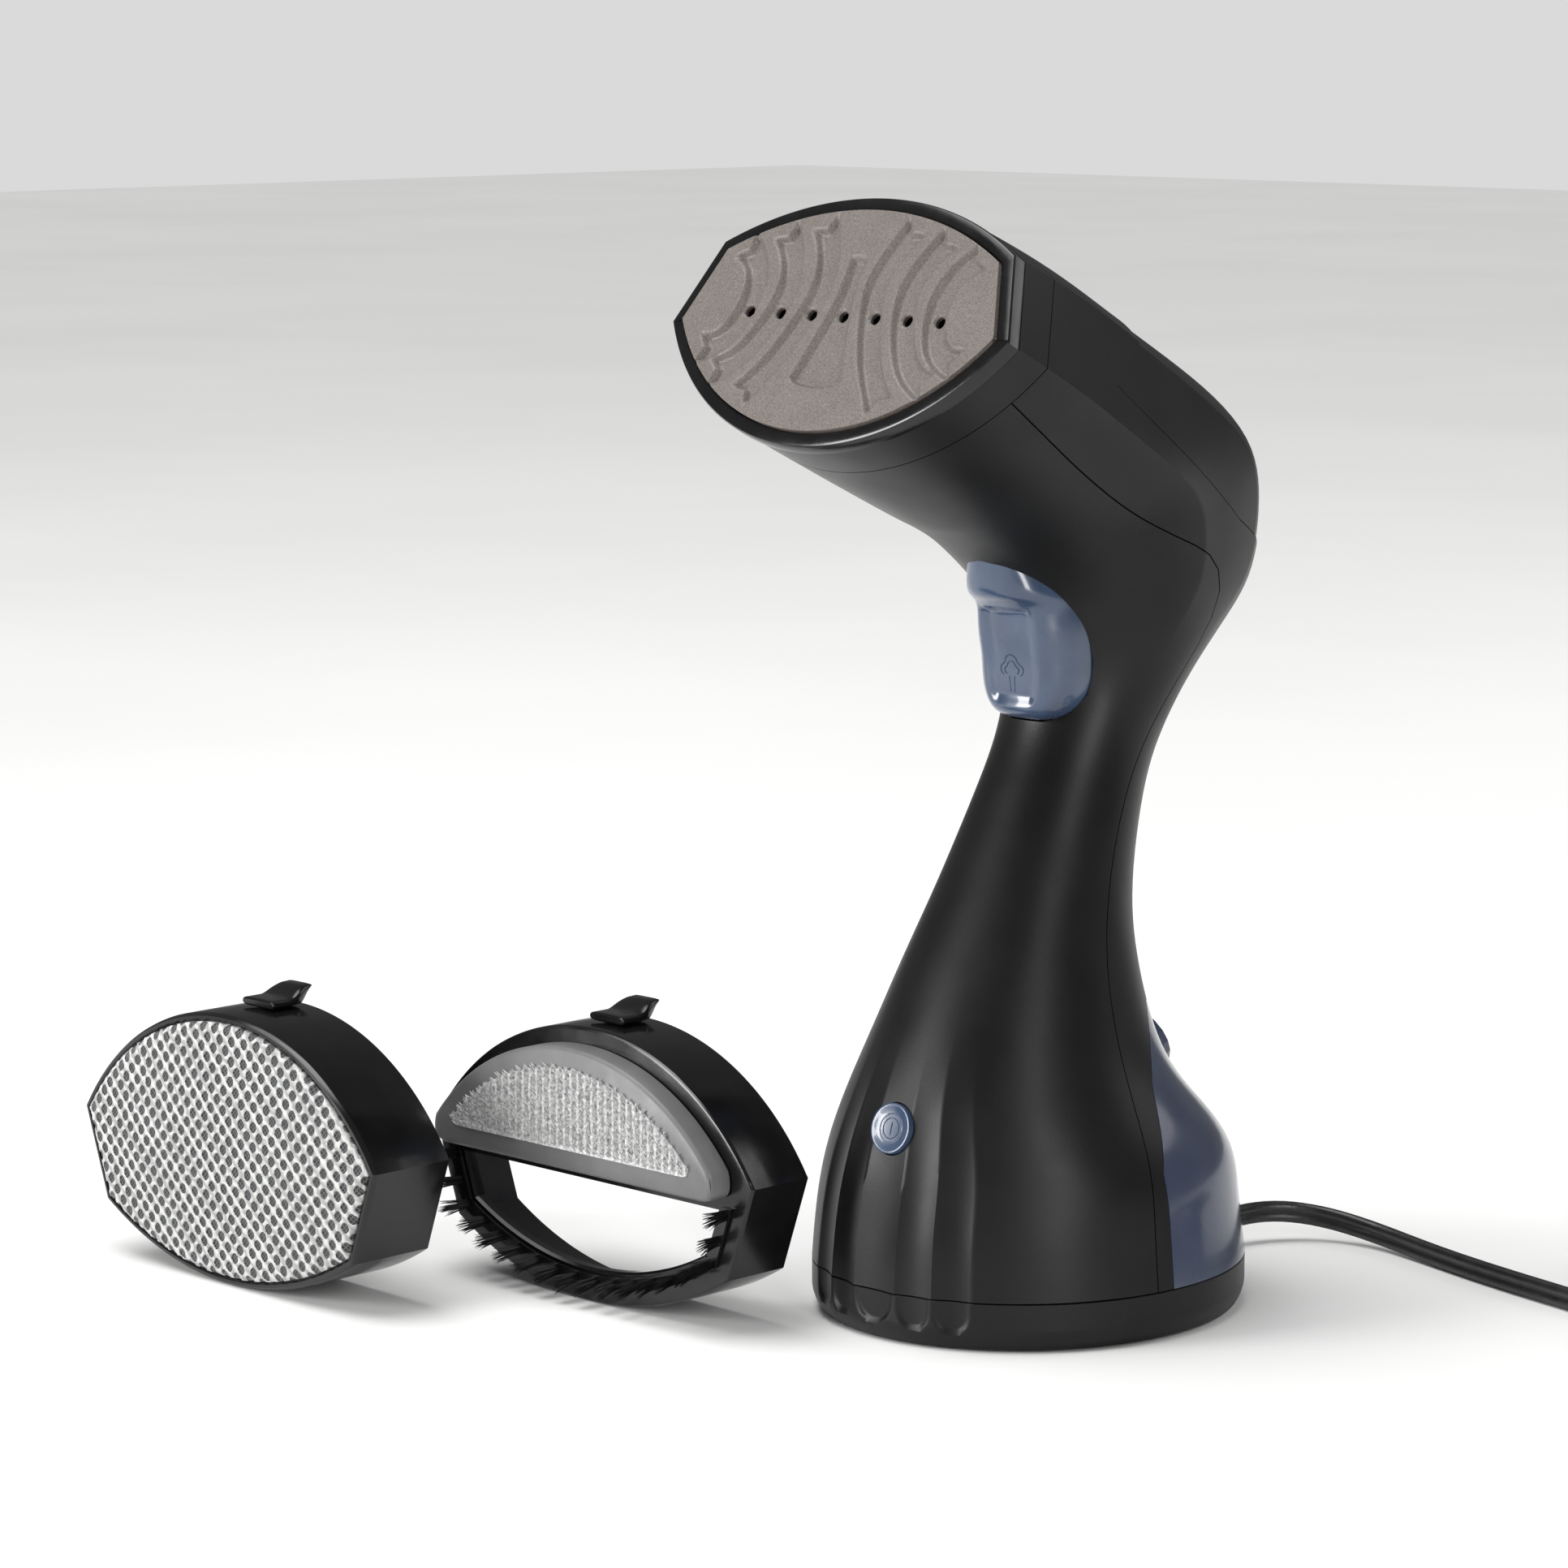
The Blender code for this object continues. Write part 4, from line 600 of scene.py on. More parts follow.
def channel_depth(u, v, line):
    """How deep a bowed channel is at each place; its ends fork like a fish's tail."""
    middle = smooth_line(line, 0.5)
    along = np.gradient(middle, axis=0)
    along /= np.linalg.norm(along, axis=1)[:, None]
    gap_u = u[:, None] - middle[:, 0]
    gap_v = v[:, None] - middle[:, 1]
    near = np.argmin(gap_u ** 2 + gap_v ** 2, axis=1)
    index = np.arange(len(u))
    beside = gap_u[index, near] * -along[near, 1] + gap_v[index, near] * along[near, 0]
    ahead = gap_u[index, near] * along[near, 0] + gap_v[index, near] * along[near, 1]
    reach = near * 0.5 + ahead
    length = (len(middle) - 1) * 0.5
    end = np.minimum(reach, length - reach)
    half = CHANNEL_HALF_WIDTH + 1.5 * np.exp(-np.maximum(end, 0.0) / 2.6)
    side = np.clip((half - np.abs(beside)) / CHANNEL_WALL, 0.0, 1.0)
    notch = 2.6 * (1.0 - np.minimum(np.abs(beside) / half, 1.0))
    tip = np.clip((end - notch) / 2.2, 0.0, 1.0)
    return CHANNEL_DEPTH * ease(side) * ease(tip)


def funnel_depth(u, v):
    """The middle channel, which widens downwards to a round foot."""
    rows = np.array(FUNNEL)[::-1]
    half = np.interp(v, rows[:, 0], rows[:, 1])
    side = np.clip((half - np.abs(u)) / 2.0, 0.0, 1.0)
    foot = np.sqrt(np.clip(1.0 - (u / 9.6) ** 2, 0.0, 1.0)) * 3.4 - 3.4
    ends = np.clip(np.minimum((15.4 - v) / 2.4, (v - (-19.2 - foot)) / 1.4), 0.0, 1.0)
    return CHANNEL_DEPTH * ease(side) * ease(ends)


def plate_depth(u, v):
    """The plate's face, as depth behind the plane of the rim."""
    sunk = funnel_depth(u, v)
    for line in CHANNEL_LINES:
        for side in (-1.0, 1.0):
            sunk = np.maximum(sunk, channel_depth(u * side, v, line))
    for number in range(-3, 4):
        gap = np.hypot(u - number * HOLE_PITCH, v)
        sunk = np.maximum(sunk, (CHANNEL_DEPTH + 0.45) * ease((HOLE_RADIUS + 0.6 - gap) / 0.8))
    return sunk - PLATE_PROUD


def relief_slab(name, point, low, high, grid, front, back):
    """A slab whose front follows front(u, v) and whose back is flat; point places it."""
    us = np.linspace(low[0], high[0], round((high[0] - low[0]) / grid) + 1)
    vs = np.linspace(low[1], high[1], round((high[1] - low[1]) / grid) + 1)
    u, v = (m.ravel() for m in np.meshgrid(us, vs))
    faces = front(u, v)
    columns, rows = len(us), len(vs)
    places = [point(*p) for p in zip(u, v, faces)] + [point(*p) for p in zip(u, v, np.full(len(u), back))]
    index = np.arange(columns * rows).reshape(rows, columns)
    quads = np.stack((index[:-1, :-1], index[:-1, 1:], index[1:, 1:], index[1:, :-1]), -1).reshape(-1, 4)
    under = quads[:, ::-1] + columns * rows
    edge = np.concatenate((index[0, :], index[1:, -1], index[-1, -2::-1], index[-2:0:-1, 0]))
    ahead = np.roll(edge, -1)
    walls = np.stack((ahead, edge, edge + columns * rows, ahead + columns * rows), -1)
    bm = bmesh.new()
    verts = [bm.verts.new(place) for place in places]
    for face in np.concatenate((quads, under, walls)).tolist():
        bm.faces.new([verts[number] for number in face])
    return make_object(name, bm)


def ceramic_coat():
    """Sprayed and fired ceramic on aluminium: warm grey, eggshell, with a fine dark and light speckle."""
    material = new_finish("ceramic-coated aluminium", {"IOR": 1.55}, (9.0, "#5b5551", "#625c58"),
                          (0.6, 0.42, 0.58))
    tree = material.node_tree
    shader, place = tree.nodes["Principled BSDF"], tree.nodes["Texture Coordinate"].outputs["Object"]
    base = shader.inputs["Base Color"].links[0].from_socket
    speckle = add_node(tree, "ShaderNodeTexNoise", {"Vector": place, "Scale": 1.0 / (SPECKLE * MM),
                                                    "Detail": 1.0})
    ramp = add_node(tree, "ShaderNodeValToRGB", {"Fac": speckle.outputs["Fac"]})
    for stop, end, colour in zip(ramp.color_ramp.elements, (0.38, 0.66), ("#433d39", "#7d746e")):
        stop.position, stop.color = end, linear(colour)
    blend = add_node(tree, "ShaderNodeMixRGB", {"Fac": 0.45, "Color1": base, "Color2": ramp.outputs["Color"]})
    bump = add_node(tree, "ShaderNodeBump", {"Height": speckle.outputs["Fac"], "Distance": 0.02 * MM})
    tree.links.new(blend.outputs["Color"], shader.inputs["Base Color"])
    tree.links.new(bump.outputs["Normal"], shader.inputs["Normal"])
    return material


def drills(name, middles, axis, radius, depth, segments=32):
    """Round rods along an axis, to cut bores with or to join on."""
    bm = bmesh.new()
    turn = axis.to_track_quat("Z", "Y").to_matrix().to_4x4()
    for middle in middles:
        bmesh.ops.create_cone(bm, cap_ends=True, segments=segments, radius1=radius, radius2=radius,
                              depth=depth, matrix=Matrix.Translation(middle) @ turn)
    return make_object(name, bm)


ceramic = ceramic_coat()
# ABS from a polished mould: piano gloss with faint waviness and fingerprints' dullness.
black_gloss = new_finish("polished black ABS", {"Specular IOR Level": 0.42}, (12.0, "#0d0d0e", "#121213"),
                         (9.0, 0.12, 0.22), (7.0, 0.02, 2.0))
plate = relief_slab("sole_plate", head_point, (-54.0, -33.0), (54.0, 30.5), PLATE_GRID, plate_depth,
                    PLATE_THICKNESS - PLATE_PROUD)
axis = Vector(head_point(0.0, 0.0, 1.0)) - Vector(head_point(0.0, 0.0, 0.0))
holes = drills("hole_drills", [head_point(number * HOLE_PITCH, 0.0, 1.0) for number in range(-3, 4)], axis,
               HOLE_RADIUS - 0.25, 8.0)
plate.data.materials.append(ceramic)
plate_edge = outline_block("plate_edge", [(-RIM_WIDTH - GAP, depth) for depth in (-5.0, 5.0)], head_point)
shape(plate, ("INTERSECT", plate_edge), ("DIFFERENCE", holes))
soften(plate, 0.35, 2, 60.0)
put_on(plate, "root", "ceramic_plate", "steam_plate")
RIM_PROFILE = ((0.0, RIM_DEPTH), (0.0, 0.7), (-0.3, 0.2), (-0.8, 0.0), (-RIM_WIDTH + 0.4, 0.0),
               (-RIM_WIDTH, 0.4), (-RIM_WIDTH, RIM_DEPTH))
rim = outline_block("black_rim", RIM_PROFILE, head_point, 240, black_gloss, True)
put_on(rim, "root", "gloss_black", "plate_bezel")


# ---- Trigger ---------------------------------------------------------------------------------------------
# A blue-grey finger lever moulded in glossy ABS, hinged at its top behind the grip. A square brow hangs over
# a dished pad that has a plain engraved steam cloud on it.
TRIGGER_ROWS = 90
TRIGGER_COLUMNS = 96
TRIGGER_PAD = (148.0, 174.0)
MARK_HEIGHT = 157.5


def trigger_front(z):
    """Half width, front and back of the trigger at a height."""
    rows = np.array(TRIGGER_SECTIONS)
    return [float(np.interp(z, rows[:, 0], rows[:, column])) for column in (1, 2, 3)]


def trigger_skin(turn, z, half, front, back):
    """A point on the trigger's outside; turn runs from one side to the other."""
    shoulder = back - 4.0
    c, s = math.cos(turn), math.sin(turn)
    across = -half * math.copysign(abs(c) ** 0.8, c)
    out = max(s, 0.0) ** 0.62
    y = shoulder + (front - shoulder) * out
    low, high = TRIGGER_PAD
    room = ease((z - low) / 4.0) * ease((high - z) / 2.0)
    dish = 1.7 * float(room) * float(ease((0.66 - abs(across) / half) / 0.3))
    return across, y + dish, z


def trigger_rings():
    rings = []
    for z, half, front, back in smooth_rows(TRIGGER_SECTIONS, TRIGGER_ROWS):
        skin = [trigger_skin(math.pi * i / TRIGGER_COLUMNS, z, half, front, back)
                for i in range(TRIGGER_COLUMNS + 1)]
        rings.append([(-half, back, z)] + skin + [(half, back, z)])
    return rings


def thin_line(name, strokes, place_on, radius):
    """Engraved lines as fine beads in painted groove shade; place_on puts a flat (across, up) point on the
    surface.
    """
    curve = bpy.data.curves.new(name, "CURVE")
    curve.dimensions = "3D"
    curve.bevel_depth = radius * MM
    curve.bevel_resolution = 2
    curve.use_fill_caps = True
    for stroke in strokes:
        points = [Vector(place_on(*p)) * MM for p in stroke]
        spline = curve.splines.new("POLY")
        spline.points.add(len(points) - 1)
        for knot, place in zip(spline.points, points):
            knot.co = (*place, 1.0)
    curve.materials.append(painted_groove_shade)
    piece = bpy.data.objects.new(name, curve)
    bpy.context.scene.collection.objects.link(piece)
    return piece


def arc(centre, radius, start, end, count=14):
    turns = [math.radians(start + (end - start) * i / count) for i in range(count + 1)]
    return [(centre[0] + radius * math.cos(t), centre[1] + radius * math.sin(t)) for t in turns]


def cloud(size):
    """Half of a cloud's outline from its crown down one side, mirrored into a whole."""
    side = arc((0.0, 1.5 * size), 1.5 * size, 90.0, 10.0)
    side += arc((1.7 * size, 0.3 * size), 1.0 * size, 75.0, -75.0)
    return [(-x, y) for x, y in side[::-1]] + side


def on_trigger(across, up):
    z = MARK_HEIGHT + up
    half, front, back = trigger_front(z)
    turn = math.acos(-math.copysign((abs(across) / half) ** 1.25, across))
    x, y, z = trigger_skin(turn, z, half, front, back)
    return x, y - 0.02, z


# Blue-grey ABS with a polished skin and clear highlights over an even colour. Lines engraved in it are drawn
# as raised beads, rough like a groove's bottom, in a darker blue-grey that is painted shade for the groove.
blue_gloss = new_finish("polished blue-grey ABS", {"IOR": 1.52, "Coat Weight": 0.5, "Coat Roughness": 0.06},
                        (10.0, "#2f3d55", "#36465f"), (8.0, 0.2, 0.3), (6.0, 0.02, 2.0))
# Painted shade: the beads' darker blue-grey stands for the shade inside the engraved grooves.
painted_groove_shade = new_finish("engraved line in ABS", {"Roughness": 0.6}, (3.0, "#26314a", "#2c3853"))
trigger = loft("trigger_lever", trigger_rings(), blue_gloss)
arm = side_block("trigger_arm", ((-9.0, 196.5), (1.0, 196.5), (6.0, 184.0), (5.0, 180.0), (-10.0, 180.0)),
                 3.6)
pin_bore = drills("pin_bore", [(0.0, -4.0, 192.0)], Vector((1.0, 0.0, 0.0)), 1.55, 40.0)
shape(trigger, ("UNION", arm), ("DIFFERENCE", pin_bore))
soften(trigger, 0.5, 3, 50.0)
put_on(trigger, "trigger", "blue_control", "trigger")
stalks = [[(-0.9, -1.2), (-0.6, -5.0)], [(0.9, -1.2), (0.6, -5.0)]]
steam_mark = thin_line("steam_mark", [cloud(1.35), cloud(0.85)] + stalks, on_trigger, 0.13)
carry(steam_mark, "trigger")


# ---- Power button ----------------------------------------------------------------------------------------
# A round push button of the same blue-grey ABS, dished, with a ring and a plain power stroke engraved on it.
BUTTON_PROFILE = ((0.8, 0.35), (2.2, 0.38), (3.3, 0.42), (3.4, 0.28), (3.6, 0.28), (3.7, 0.45), (4.8, 0.62),
                  (5.5, 0.85), (5.9, 0.9), (6.12, 0.8), (BUTTON_RADIUS, 0.55), (BUTTON_RADIUS, -3.6),
                  (BUTTON_RADIUS + 1.6, -3.6), (BUTTON_RADIUS + 1.6, -4.4), (1.8, -4.4), (1.8, -6.2))

button = loft("power_key", button_rings(BUTTON_PROFILE), blue_gloss)
put_on(button, "power_button", "blue_control", "power_button")
power_mark = thin_line("power_mark", [[(0.0, -1.5), (0.0, 1.5)], arc((0.0, 0.0), 2.5, 0.0, 360.0, 48)],
                       lambda across, up: button_point(0.42, across, up), 0.12)
carry(power_mark, "power_button")


# ---- Water tank ------------------------------------------------------------------------------------------
# The tank is moulded from smoky blue SAN, 2 mm thick, and slides in from the rear. A lid of the same plastic
# closes the filler on its shoulder, and a silicone valve lets the water out at its front wall.
TANK_WALL = 2.0
TANK_BOTTOM = 12.5
FILLER_SLOPE = ((38.3, 55.5), (30.2, 70.0))
FILLER_SHARE = 0.2
FILLER_BOSS_RADIUS = 10.0
FILLER_RADIUS = 7.0


def tank_piece():
    tank = loft("water_tank", body_rings(points=240, spans=6), smoky)
    room = side_block("tank_room", list(TANK_FRONT) + [(90.0, TANK_TOP), (90.0, TANK_BOTTOM)], 60.0)
    inner = [(y + TANK_WALL, z) for y, z in TANK_FRONT]
    inner[0] = (inner[0][0], TANK_BOTTOM + TANK_WALL)
    inner[-1] = (inner[-1][0], TANK_TOP - TANK_WALL)
    cavity = loft("tank_cavity", body_rings(TANK_WALL, points=120, spans=6))
    shape(cavity, ("INTERSECT", side_block("cavity_room", inner + [(90.0, TANK_TOP - TANK_WALL),
                                                                   (90.0, TANK_BOTTOM + TANK_WALL)], 60.0)))
    low, high = (Vector((0.0, *p)) for p in FILLER_SLOPE)
    up = (high - low).normalized()
    out = Vector((0.0, up.z, -up.y))
    mouth = low.lerp(high, FILLER_SHARE)
    boss, hole = (drills(name, [mouth + out * (outward - inward) / 2.0], out, radius, inward + outward, 64)
                  for name, radius, inward, outward in (("filler_boss", FILLER_BOSS_RADIUS, 3.0, 2.5),
                                                        ("filler_hole", FILLER_RADIUS, 12.0, 6.0)))
    return shape(tank, ("INTERSECT", room), ("UNION", boss), ("DIFFERENCE", cavity), ("DIFFERENCE", hole))


# Tinted clear SAN: smooth outside, a little hazy from the mould, blue-grey through its thickness.
smoky = new_finish("smoky blue SAN", {"IOR": 1.3, "Transmission Weight": 0.45, "Coat Weight": 0.4,
                                      "Coat Roughness": 0.1},
                   (30.0, "#49526a", "#596279"), (14.0, 0.14, 0.26))
put_on(tank_piece(), "tank", "tank_clear", "tank_body")


# ---- Base ring -------------------------------------------------------------------------------------------
# A black ABS ring closes the foot. The flutes run out over it in five rounded scallops, and a ledge inside
# it carries the tank.
RING_PROFILE = ((0.6, 2.0), (1.1, 1.55), (2.2, 0.95), (3.0, 0.62), (4.2, 0.22), (5.5, 0.0))
SCALLOP_FOOT = 3.9


def base_loop(inset, z, points):
    half_width, half_length, middle = BASE_ELLIPSE
    turn = 2.0 * np.pi * np.arange(points) / points
    return np.column_stack(((half_width - inset) * np.sin(turn),
                            middle - (half_length - inset) * np.cos(turn), np.full(points, z)))


def scalloped(ring, z):
    """The flutes' round ends, in one ring of points."""
    def fade(across, half):
        reach = math.radians(half) * BASE_ELLIPSE[1]
        centre = SCALLOP_FOOT + reach
        low = min(z - centre, 0.0)
        return ease((reach - np.hypot(across * reach, low)) / 1.5)

    return pressed(ring, fade)


heights = [z for z, _ in RING_PROFILE]
heights += [*np.arange(5.8, RING_TOP - 0.25, 0.3), RING_TOP - 0.2, RING_TOP]
insets = np.interp(heights, *zip(*RING_PROFILE))
insets[-1] = 0.25
base = loft("foot_ring", [scalloped(base_loop(inset, z, 720), z) for inset, z in zip(insets, heights)],
            black_abs)
well = loft("ring_well", [base_loop(4.5, z, 180) for z in (-2.0, 30.0)])
ledge = loft("ring_ledge", [base_loop(3.0, z, 180) for z in (9.5, 12.0)])
rear_room = side_block("rear_room", ((-7.0, 0.0), (60.0, 0.0), (60.0, 40.0), (-7.0, 40.0)), 60.0)
shape(ledge, ("INTERSECT", rear_room))
shape(base, ("DIFFERENCE", well), ("UNION", ledge))
put_on(base, "root", "shell_black", "base_ring")


# ---- Fabric head -----------------------------------------------------------------------------------------
# A clip-on frame in gloss black ABS whose skirt slides over the nose of the head. It stands upside down on
# the floor beside the steamer, and holds a crowned cushion of white spacer mesh over grey backing.
SKIRT_FIT = 0.6
SKIRT_WALL = 2.0
SKIRT_DEPTH = 16.0
PAD_PLACE = (-151.0, -123.0)
BRUSH_PLACE = (-75.0, -75.0)
CELL_ACROSS = 4.7
CELL_UP = 5.0
FABRIC_GRID = 0.45


def standing_point(place):
    """Maps the head's (u, v, depth) to a clip-on head that stands upside down on the floor."""
    foot = head_outline(SKIRT_FIT + SKIRT_WALL)[:, 1].max()
    return lambda u, v, depth: (place[0] - u, place[1] + depth, foot - v)


def edge_gap(u, v, offset):
    """Distance inside the head's outline, moved out by offset, at each place."""
    ring = head_outline(offset, 288)
    ahead = np.roll(ring, -1, axis=0)
    along = ahead - ring
    length = (along ** 2).sum(axis=1)
    least = np.full(len(u), 1e9)
    for (a, b), (du, dv), square in zip(ring, along, length):
        share = np.clip(((u - a) * du + (v - b) * dv) / square, 0.0, 1.0)
        least = np.minimum(least, np.hypot(u - a - share * du, v - b - share * dv))
    return least


def fabric_front(u, v):
    """Depth of the fabric's face: crowned, rolled over at its edge and dimpled at every mesh cell."""
    gap = edge_gap(u, v, SKIRT_FIT - GAP)
    crown = 1.5 * ease(gap / 26.0) + 1.7 * np.sqrt(1.0 - np.clip(1.0 - gap / 2.6, 0.0, 1.0) ** 2)
    cell = np.abs(np.cos(2.0 * np.pi * u / CELL_ACROSS) + np.cos(2.0 * np.pi * v / CELL_UP))
    return -7.6 - crown + 0.45 * ease((cell - 0.6) / 0.5)


def spacer_mesh(middle_x, middle_z):
    """Warp-knitted polyester spacer mesh: white ridges round open oval cells, with the grey backing seen
    through a fine net in each cell."""
    material = new_finish("polyester spacer mesh",
                          {"Roughness": 0.9, "Sheen Weight": 0.25, "Sheen Roughness": 0.5})
    tree = material.node_tree
    shader, place = tree.nodes["Principled BSDF"], tree.nodes["Texture Coordinate"].outputs["Object"]
    shifted = add_node(tree, "ShaderNodeVectorMath", {0: place, 1: (middle_x * MM, 0.0, middle_z * MM)},
                       operation="SUBTRACT")
    axes = add_node(tree, "ShaderNodeSeparateXYZ", {"Vector": shifted.outputs[0]})

    def waves(across_mm, up_mm):
        """Size of the sum of two cosines: one hump for each cell of a staggered grid."""
        humps = []
        for axis, pitch in (("X", across_mm), ("Z", up_mm)):
            phase = add_node(tree, "ShaderNodeMath", {0: axes.outputs[axis], 1: 2.0 * math.pi / (pitch * MM)},
                             operation="MULTIPLY")
            humps.append(add_node(tree, "ShaderNodeMath", {0: phase.outputs[0]}, operation="COSINE"))
        total = add_node(tree, "ShaderNodeMath", {n: hump.outputs[0] for n, hump in enumerate(humps)},
                         operation="ADD")
        return add_node(tree, "ShaderNodeMath", {0: total.outputs[0]}, operation="ABSOLUTE").outputs[0]

    cell = add_node(tree, "ShaderNodeMapRange", {"Value": waves(CELL_ACROSS, CELL_UP), "From Min": 0.7,
                                                 "From Max": 0.88}, interpolation_type="SMOOTHSTEP")
    net = add_node(tree, "ShaderNodeMapRange", {"Value": waves(1.15, 1.25), "From Min": 0.5, "From Max": 1.1})
    yarn = add_node(tree, "ShaderNodeTexWave", {"Vector": place, "Scale": 1.0 / (6.0 * MM), "Distortion": 4.0,
                                                "Detail": 2.0, "Detail Scale": 3.0},
                    bands_direction="DIAGONAL")
    ridge = add_node(tree, "ShaderNodeMixRGB", {"Fac": yarn.outputs["Fac"], "Color1": linear("#8d8d8c"),
                                                "Color2": linear("#bcbcba")})
    backing = add_node(tree, "ShaderNodeMixRGB", {"Fac": net.outputs[0], "Color1": linear("#4c4d4e"),
                                                  "Color2": linear("#191a1b")})
    colour = add_node(tree, "ShaderNodeMixRGB", {"Fac": cell.outputs[0], "Color1": ridge.outputs[0],
                                                 "Color2": backing.outputs[0]})
    bump = add_node(tree, "ShaderNodeBump", {"Height": yarn.outputs["Fac"], "Distance": 0.15 * MM})
    tree.links.new(colour.outputs[0], shader.inputs["Base Color"])
    tree.links.new(bump.outputs["Normal"], shader.inputs["Normal"])
    return material


def plate_piece(name, front, offset, low, high, point, grid, back, material):
    """A relief slab trimmed to the head's outline and to a range of heights."""
    piece = relief_slab(name, point, low, high, grid, front, back)
    piece.data.materials.append(material)
    edge = outline_block(name + "_edge", [(offset, depth) for depth in (-20.0, 5.0)], point)
    return shape(piece, ("INTERSECT", edge))


pad_point = standing_point(PAD_PLACE)
outer = SKIRT_FIT + SKIRT_WALL
PAD_PROFILE = ((outer, SKIRT_DEPTH), (outer, -6.4), (outer - 0.25, -7.3), (outer - 0.8, -7.9),
               (SKIRT_FIT + 0.5, -8.0), (SKIRT_FIT, -7.6), (SKIRT_FIT, -6.0), (-9.0, -6.0), (-9.0, -3.6),
               (SKIRT_FIT, -3.6), (SKIRT_FIT, SKIRT_DEPTH))
pad_frame = outline_block("fabric_head_frame", PAD_PROFILE, pad_point, 240, black_gloss, True)
put_on(pad_frame, "pad_head", "gloss_black", "pad_frame")
mesh_fabric = spacer_mesh(PAD_PLACE[0], pad_point(0.0, 0.0, 0.0)[2])
fabric = plate_piece("mesh_pad", fabric_front, SKIRT_FIT - GAP, (-55.5, -35.0), (55.5, 32.0), pad_point,
                     FABRIC_GRID, -6.3, mesh_fabric)
put_on(fabric, "pad_head", "mesh_fabric", "pad_fabric")


# ---- Brush head ------------------------------------------------------------------------------------------
# The second clip-on head: a gloss frame open at its lower half, eighteen tufts of black nylon round the
# opening, and a satin grey holder with a lint pad of short pile across the other half.
TUFTS = 18
HAIRS = 46
PILE_PITCH = 0.62


def outline_stretch(offset, points, keep):
    """The stretch of the head's outline whose heights keep(v) accepts, as one run of points."""
    ring = head_outline(offset, points)
    ring = ring[keep(ring[:, 1])]
    gaps = np.hypot(*(ring - np.roll(ring, 1, axis=0)).T)
    return np.roll(ring, -int(np.argmax(gaps)), axis=0)


def rounded_half(offset, low_v, corner):
    """The part of the outline below a height, with its two sharp ends rounded off."""
    run = outline_stretch(offset, 240, lambda v: v < low_v)
    ends = [np.array((end[0], low_v)) for end in (run[-1], run[0])]
    inner = [end - (math.copysign(corner, end[0]), 0.0) for end in ends]
    run = run[(np.hypot(*(run - run[0]).T) > corner) & (np.hypot(*(run - run[-1]).T) > corner)]
    t = np.linspace(0.0, 1.0, 9)[:, None]
    closing, opening = ((1 - t) ** 2 * a + 2 * t * (1 - t) * b + t * t * c
                        for a, b, c in ((run[-1], ends[0], inner[0]), (inner[1], ends[1], run[0])))
    return np.concatenate((run, closing[1:], opening[:-1]))


def holder_block(name, rows, material=None):
    """A body through rings on the holder's D shape, one for each (offset, height, corner, depth)."""
    return loft(name, [[brush_point(u, v, depth) for u, v in rounded_half(*sizes)] for *sizes, depth in rows],
                material)


def filaments(name, strands, material):
    """Thin tapered three-sided strands; each is (root, bend, tip, radius)."""
    bm = bmesh.new()
    for root, bend, tip, radius in strands:
        root, bend, tip = Vector(root), Vector(bend), Vector(tip)
        loops = []
        for share, taper in ((0.0, 1.0), (0.35, 1.0), (0.7, 0.85), (1.0, 0.35)):
            place = root.lerp(bend, share).lerp(bend.lerp(tip, share), share)
            along = (tip - root).normalized()
            side = along.orthogonal().normalized()
            other = along.cross(side)
            loops.append([bm.verts.new(place + (side * math.cos(t) + other * math.sin(t)) * radius * taper)
                          for t in (0.0, 2.1, 4.2)])
        for lower, upper in zip(loops, loops[1:]):
            for i in range(3):
                bm.faces.new((lower[i], lower[(i + 1) % 3], upper[(i + 1) % 3], upper[i]))
        bm.faces.new(loops[0][::-1])
        bm.faces.new(loops[-1])
    return make_object(name, bm, material)


def tuft_line(count):
    """Places of the tufts along the strip, evenly spaced."""
    run = outline_stretch(-3.1, 288, lambda v: v > 2.6)
    reach = np.concatenate(((0.0,), np.cumsum(np.hypot(*np.diff(run, axis=0).T))))
    places = np.linspace(0.0, reach[-1], count)
    return np.column_stack((np.interp(places, reach, run[:, 0]), np.interp(places, reach, run[:, 1])))


def bristle_strands(point, rng):
    strands = []
    for u, v in tuft_line(TUFTS):
        lean = rng.uniform(-0.35, 0.35)
        for _ in range(HAIRS):
            angle, reach = rng.uniform(0.0, 2.0 * math.pi), 1.25 * math.sqrt(rng.uniform(0.0, 1.0))
            du, dv = reach * math.cos(angle), reach * math.sin(angle)
            length = rng.uniform(6.3, 7.4)
            spread = 1.7 + rng.uniform(-0.2, 0.3)
            tip = point(u * 1.03 + du * spread + lean, v * 1.03 + dv * spread, -4.1 - length)
            bend = point(u * 1.01 + du * 1.1, v * 1.01 + dv * 1.1, -4.1 - length * 0.55)
            strands.append((point(u + du, v + dv, -3.6), bend, tip, 0.13))
    return strands


